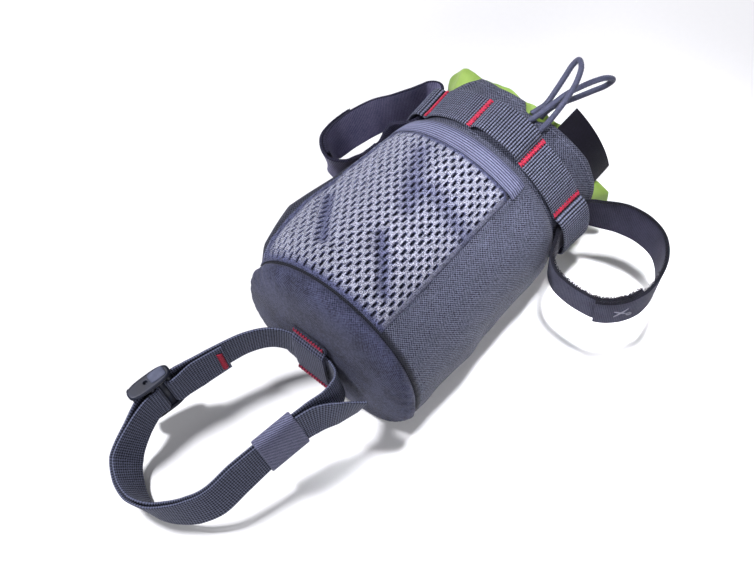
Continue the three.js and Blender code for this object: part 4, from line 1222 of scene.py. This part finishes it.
def moved(station, along_by, out_by):
    centre, along, across, out = station
    return centre + along * along_by + out * out_by, along, across, out


def bar_turn(buckle, bar_along, way):
    """Half turn round a buckle bar from the inner to the outer side, with a straight run at both ends."""
    straight = bar_along - way * BAR_STRAIGHT
    turned = [moved(buckle, bar_along + way * BAR_TURN * math.cos(turn), BAR_TURN * math.sin(turn))
              for turn in np.radians((-90, -45, 0, 45, 90))]
    return [moved(buckle, straight, -BAR_TURN), *turned, moved(buckle, straight, BAR_TURN)]


def base_strap_route(frames):
    """Stations of the whole strap: sewn end, fixed bar, far run, anchor, near run, middle bar and tail."""
    names = [row[0] for row in STRAP_STATIONS]
    far = names[:names.index("sewn_end")][::-1]
    near = names[names.index("left_run"):][::-1]
    shared = names[names.index("left_run"):names.index("keeper") + 1]
    shift, back = BASE_STRAP.layer_shift, SEWN_END.back
    return [
        moved(frames["tack"], -back, -shift),
        moved(frames["sewn_end"], -back, -shift - SEAM_GAP),
        *bar_turn(frames["buckle"], BUCKLE_BARS["fixed"][0], 1),
        moved(frames["sewn_end"], -back / 2, SEWN_END.spread),
        *[frames[name] for name in far + near],
        *bar_turn(frames["buckle"], BUCKLE_BARS["middle"][0], -1),
        *[moved(frames[name], 0, shift) for name in shared],
        *[frames[row[0]] for row in TAIL_STATIONS],
    ]


def webbing_band(name, node, strap, travel, size, material):
    """Piece of webbing with shallow ribs across it; size is its width and thickness."""
    width, thickness = size
    cut = band_cut(width, thickness - WEBBING_BAND.slack, WEBBING_BAND.face_steps, WEBBING_BAND.squareness)
    ribs = np.abs(np.sin(math.pi * travel / BASE_STRAP.rib_pitch))[:, None]
    points = band_points(strap, cut, BASE_STRAP.rib_height * (ribs - 0.5))
    add_piece(name, swept(points, False, travel), [material], node)


def base_strap(frames, material, tack_material):
    route = base_strap_route(frames)
    control, _, sides, _ = (np.array(values) for values in zip(*route))
    places, travel, centre, along = open_route(control, BASE_STRAP.rib_pitch / 4)
    index = np.minimum(places.astype(int), len(route) - 2)
    share = (places - index)[:, None]
    across = sides[index] * (1 - share) + sides[index + 1] * share
    across = unit(across - along * (across * along).sum(1, keepdims=True))
    out = np.cross(along, across)
    size = BASE_STRAP.width, BASE_STRAP.thickness
    webbing_band("base_strap_webbing", "base_strap", (centre, along, across, out), travel, size, material)
    at = np.searchsorted(travel, SEWN_END.tack_at)
    side = np.arange(-SEWN_END.tack_reach, SEWN_END.tack_reach, TACK.pitch)[:, None]
    line = centre[at] + across[at] * side - out[at] * BASE_STRAP.thickness / 2
    add_tack("tack_strap_tab", line, -out[at], along[at], tack_material)


def buckle_loops(buckle, shape, rings, side=1):
    """Rounded outlines in the buckle's plane, one for each ring, on one side of the strap."""
    centre, along, across, out = buckle
    half_sizes, power, shift = shape
    turn = circle(BUCKLE.sides)
    middle = (BUCKLE.start + BUCKLE.end) / 2, (BUCKLE.low + BUCKLE.high) / 2
    loops = []
    for grow, height in rings:
        a, b = ((half_sizes[k] + grow) * signed_power(wave, 2 / power) + middle[k] + shift[k]
                for k, wave in enumerate((np.cos(turn), np.sin(turn))))
        loops.append(centre + along * a[:, None] + out * b[:, None] + across * side * height)
    return loops


def strap_buckle(buckle, plastic, pad):
    """Ladder lock: two rails with a slot, joined by three bars and a web, and a pad on the upper rail."""
    centre, along, across, out = buckle
    shapes = []
    for side in (-1, 1):
        rail = buckle_loops(buckle, RAIL_OUTLINE, RAIL_RINGS, side)
        slot = buckle_loops(buckle, SLOT_OUTLINE, SLOT_RINGS, side)
        shapes.append(swept(rail + slot, False))
    bars = [(*place, BUCKLE_BAR_RADIUS, BUCKLE_BAR_RADIUS) for place in BUCKLE_BARS.values()]
    bars.append((BUCKLE_WEB.along, 0.0, BUCKLE_WEB.half_along, BUCKLE_WEB.half_out))
    turn, reach = circle(BUCKLE.sides)[:, None], across * BUCKLE.bar_reach
    for place, raised, half_along, half_out in bars:
        ring = centre + along * (place + half_along * np.cos(turn))
        ring = ring + out * (raised + half_out * np.sin(turn))
        shapes.append(swept([ring - reach, ring, ring + reach], False))
    add_piece("buckle_body", joined(shapes), [plastic], "strap_buckle")
    block = buckle_loops(buckle, PAD_OUTLINE, PAD_RINGS)
    add_piece("buckle_pad", swept(block, False), [pad])


def strap_keeper(keeper, material):
    centre, along, across, out = moved(keeper, 0, BASE_STRAP.layer_shift / 2)
    share, depth, over = wall_cut(*KEEPER.steps)
    turn = np.radians(full_turn(KEEPER.columns))[:, None]
    wall, length, power = KEEPER.wall, KEEPER.length, 2 / KEEPER.power
    ribs = KEEPER_RIBS.height * np.abs(np.sin(math.pi * KEEPER_RIBS.count / 2 * share)) * (depth == 0)
    grow = wall * (1 - depth) + ribs
    place = wall / 2 + (length - wall) * share + over * wall / 2 - length / 2
    side = (KEEPER.half_width + grow) * signed_power(np.sin(turn), power)
    rise = (KEEPER.half_depth + grow) * signed_power(np.cos(turn), power)
    points = centre + along * place[None, :, None] + across * side[..., None] + out * rise[..., None]
    add_piece("keeper_sleeve", swept(points, True), [material], "strap_keeper")


def base_anchor(material, tack_material):
    above, depth = np.array(ANCHOR_ROWS, float).T
    control = np.stack([ANCHOR.side + ANCHOR.slant * above, depth, ANCHOR.height + above], 1)
    _, travel, centre, along = open_route(control, ANCHOR.step)
    across = np.broadcast_to((1.0, 0.0, 0.0), centre.shape)
    strap = centre, along, across, unit(np.cross(along, across))
    webbing_band("anchor_webbing", "base_anchor", strap, travel, (ANCHOR.width, ANCHOR.wall), material)
    reach = ANCHOR.width / 2 - ANCHOR_TACK_INSET
    for name, above, depth in ANCHOR_TACKS:
        side = np.arange(-reach, reach, TACK.pitch) + ANCHOR.side + ANCHOR.slant * above
        line = np.stack([side, 0 * side + depth - ANCHOR.wall / 2, 0 * side + ANCHOR.height + above], 1)
        add_tack(name, line, (0.0, -1.0, 0.0), UP, tack_material)


# Stitching

def add_tack(name, line, normals, across, material):
    """Bar tack: threads laid side by side along a line, each one across it and a little slanted."""
    step = line[1] - line[0]
    normals = np.broadcast_to(np.asarray(normals, float), line.shape)
    line = line + normals * TACK.lift
    reach = np.asarray(across, float) * TACK.half_width
    slant = step * np.array(TACK.slants)[np.arange(len(line)) % 2][:, None]
    shape = strands_shape(line - reach - slant, line + reach + slant, normals, TACK.radius, TACK.bulge)
    add_piece(name, shape, [material])


def webbing_tacks(material):
    height = SEAM_GAP + WEBBING.wall
    first, last = WEBBING.low + WEBBING_TACK_ENDS[0], WEBBING.high - WEBBING_TACK_ENDS[1]
    along = np.arange(first, last, TACK.pitch)
    for count in range(TACK_COUNT):
        turn = TACK_FIRST_ANGLE + count * 360 / TACK_COUNT
        turn = (turn + 180) % 360 - 180
        around = unit(skin(turn + 1, along, height) - skin(turn - 1, along, height))
        normals = skin_normal(turn, along, height)
        add_tack(f"tack_webbing_{count + 1}", skin(turn, along, height), normals, around, material)


def collar_stitches(material):
    """A row of stitches along the turned hem of the collar."""
    pitch = math.degrees((STITCH.length + STITCH.gap) / STITCH.arm)
    reach = math.degrees(STITCH.length / STITCH.arm)
    turns = np.arange(-180, 180 - pitch, pitch)
    lift = COLLAR_HEM.stitch_lift
    low, low_after = (rim_at(angle) - COLLAR_HEM.stitches for angle in (turns, turns + reach))
    starts, ends = skin(turns, low, lift), skin(turns + reach, low_after, lift)
    shape = strands_shape(starts, ends, skin_normal(turns, low, lift), STITCH.radius, STITCH.bulge)
    add_piece("stitches_collar", shape, [material])


def cut_mark(strap, material):
    """Plain scissors mark on the strap's outer end: two crossed blades and a ring handle."""
    centre, along, across, out = (values[MARK_STATION] for values in strap)
    origin = centre + out * (HOOK_STRAP.thickness / 2)
    (x, y), (half_x, half_y) = MARK_HANDLE
    turns = np.linspace(0, 2 * math.pi, MARK_POINTS)
    ring = [(x + half_x * math.cos(turn), y + half_y * math.sin(turn)) for turn in turns]
    pairs = np.array([*MARK_BLADES, *zip(ring, ring[1:])])
    starts, ends = (origin + along * pairs[:, k, :1] + across * pairs[:, k, 1:] for k in (0, 1))
    shape = strands_shape(starts, ends, np.broadcast_to(out, starts.shape), MARK_RADIUS, 0.0)
    add_piece("cut_mark", shape, [material])


# The whole scene

def build():
    add_camera()
    draw_cord(thread_material("cord_braid"))
    add_studio()
    ripstop = ripstop_material()
    red = thread_material("red_thread")
    tape, tape_back, tape_dark = (tape_material(name) for name in ("tape_face", "tape_back", "tape_inside"))
    hooks = tape_material("tape_hooks", "hooks")
    body_shell(ripstop)
    base_shell(base_cloth_material())
    net_pocket(net_material())
    binding_pitch = (BINDING.high - BINDING.low - BINDING.wall) / ELASTIC.ribs
    pocket_binding(ribbed_material("binding_elastic", binding_pitch, 0.0))
    collar(ripstop)
    daisy_webbing(webbing_material("ring_webbing", beaded_weave, WEBBING_RIBS.pitch))
    mouth_lining(lining_material())
    label_tag(label_material())
    # The dark tape is painted shade on the right strap's inner faces
    right_materials, left_materials = [tape, hooks, tape_dark], [tape_back, tape_dark, tape_back]
    right = hook_strap("hook_strap_right", HOOK_ROUTE_RIGHT, right_materials, math.inf)
    hook_strap("hook_strap_left", HOOK_ROUTE_LEFT, left_materials, HOOK_STRAP.overlap)
    frames = station_frames()
    # The anchor patch takes darker copies of the strap's webbing and thread, as painted shade
    strap_web, anchor_web = (webbing_material(name, grid_weave, BASE_STRAP.rib_pitch)
                             for name in ("strap_webbing", "anchor_webbing"))
    base_strap(frames, strap_web, red)
    base_anchor(anchor_web, thread_material("red_thread_painted_shade"))
    plastic = plastic_material("buckle_plastic", "plastic")
    strap_buckle(frames["buckle"], plastic, plastic_material("buckle_pad", "pad"))
    twill = ribbed_material("keeper_sleeve", KEEPER_RIBS.twill_pitch, KEEPER_RIBS.twill_slant)
    strap_keeper(frames["keeper"], twill)
    webbing_tacks(red)
    collar_stitches(thread_material("grey_thread"))
    cut_mark(right, thread_material("mark_print"))


build()
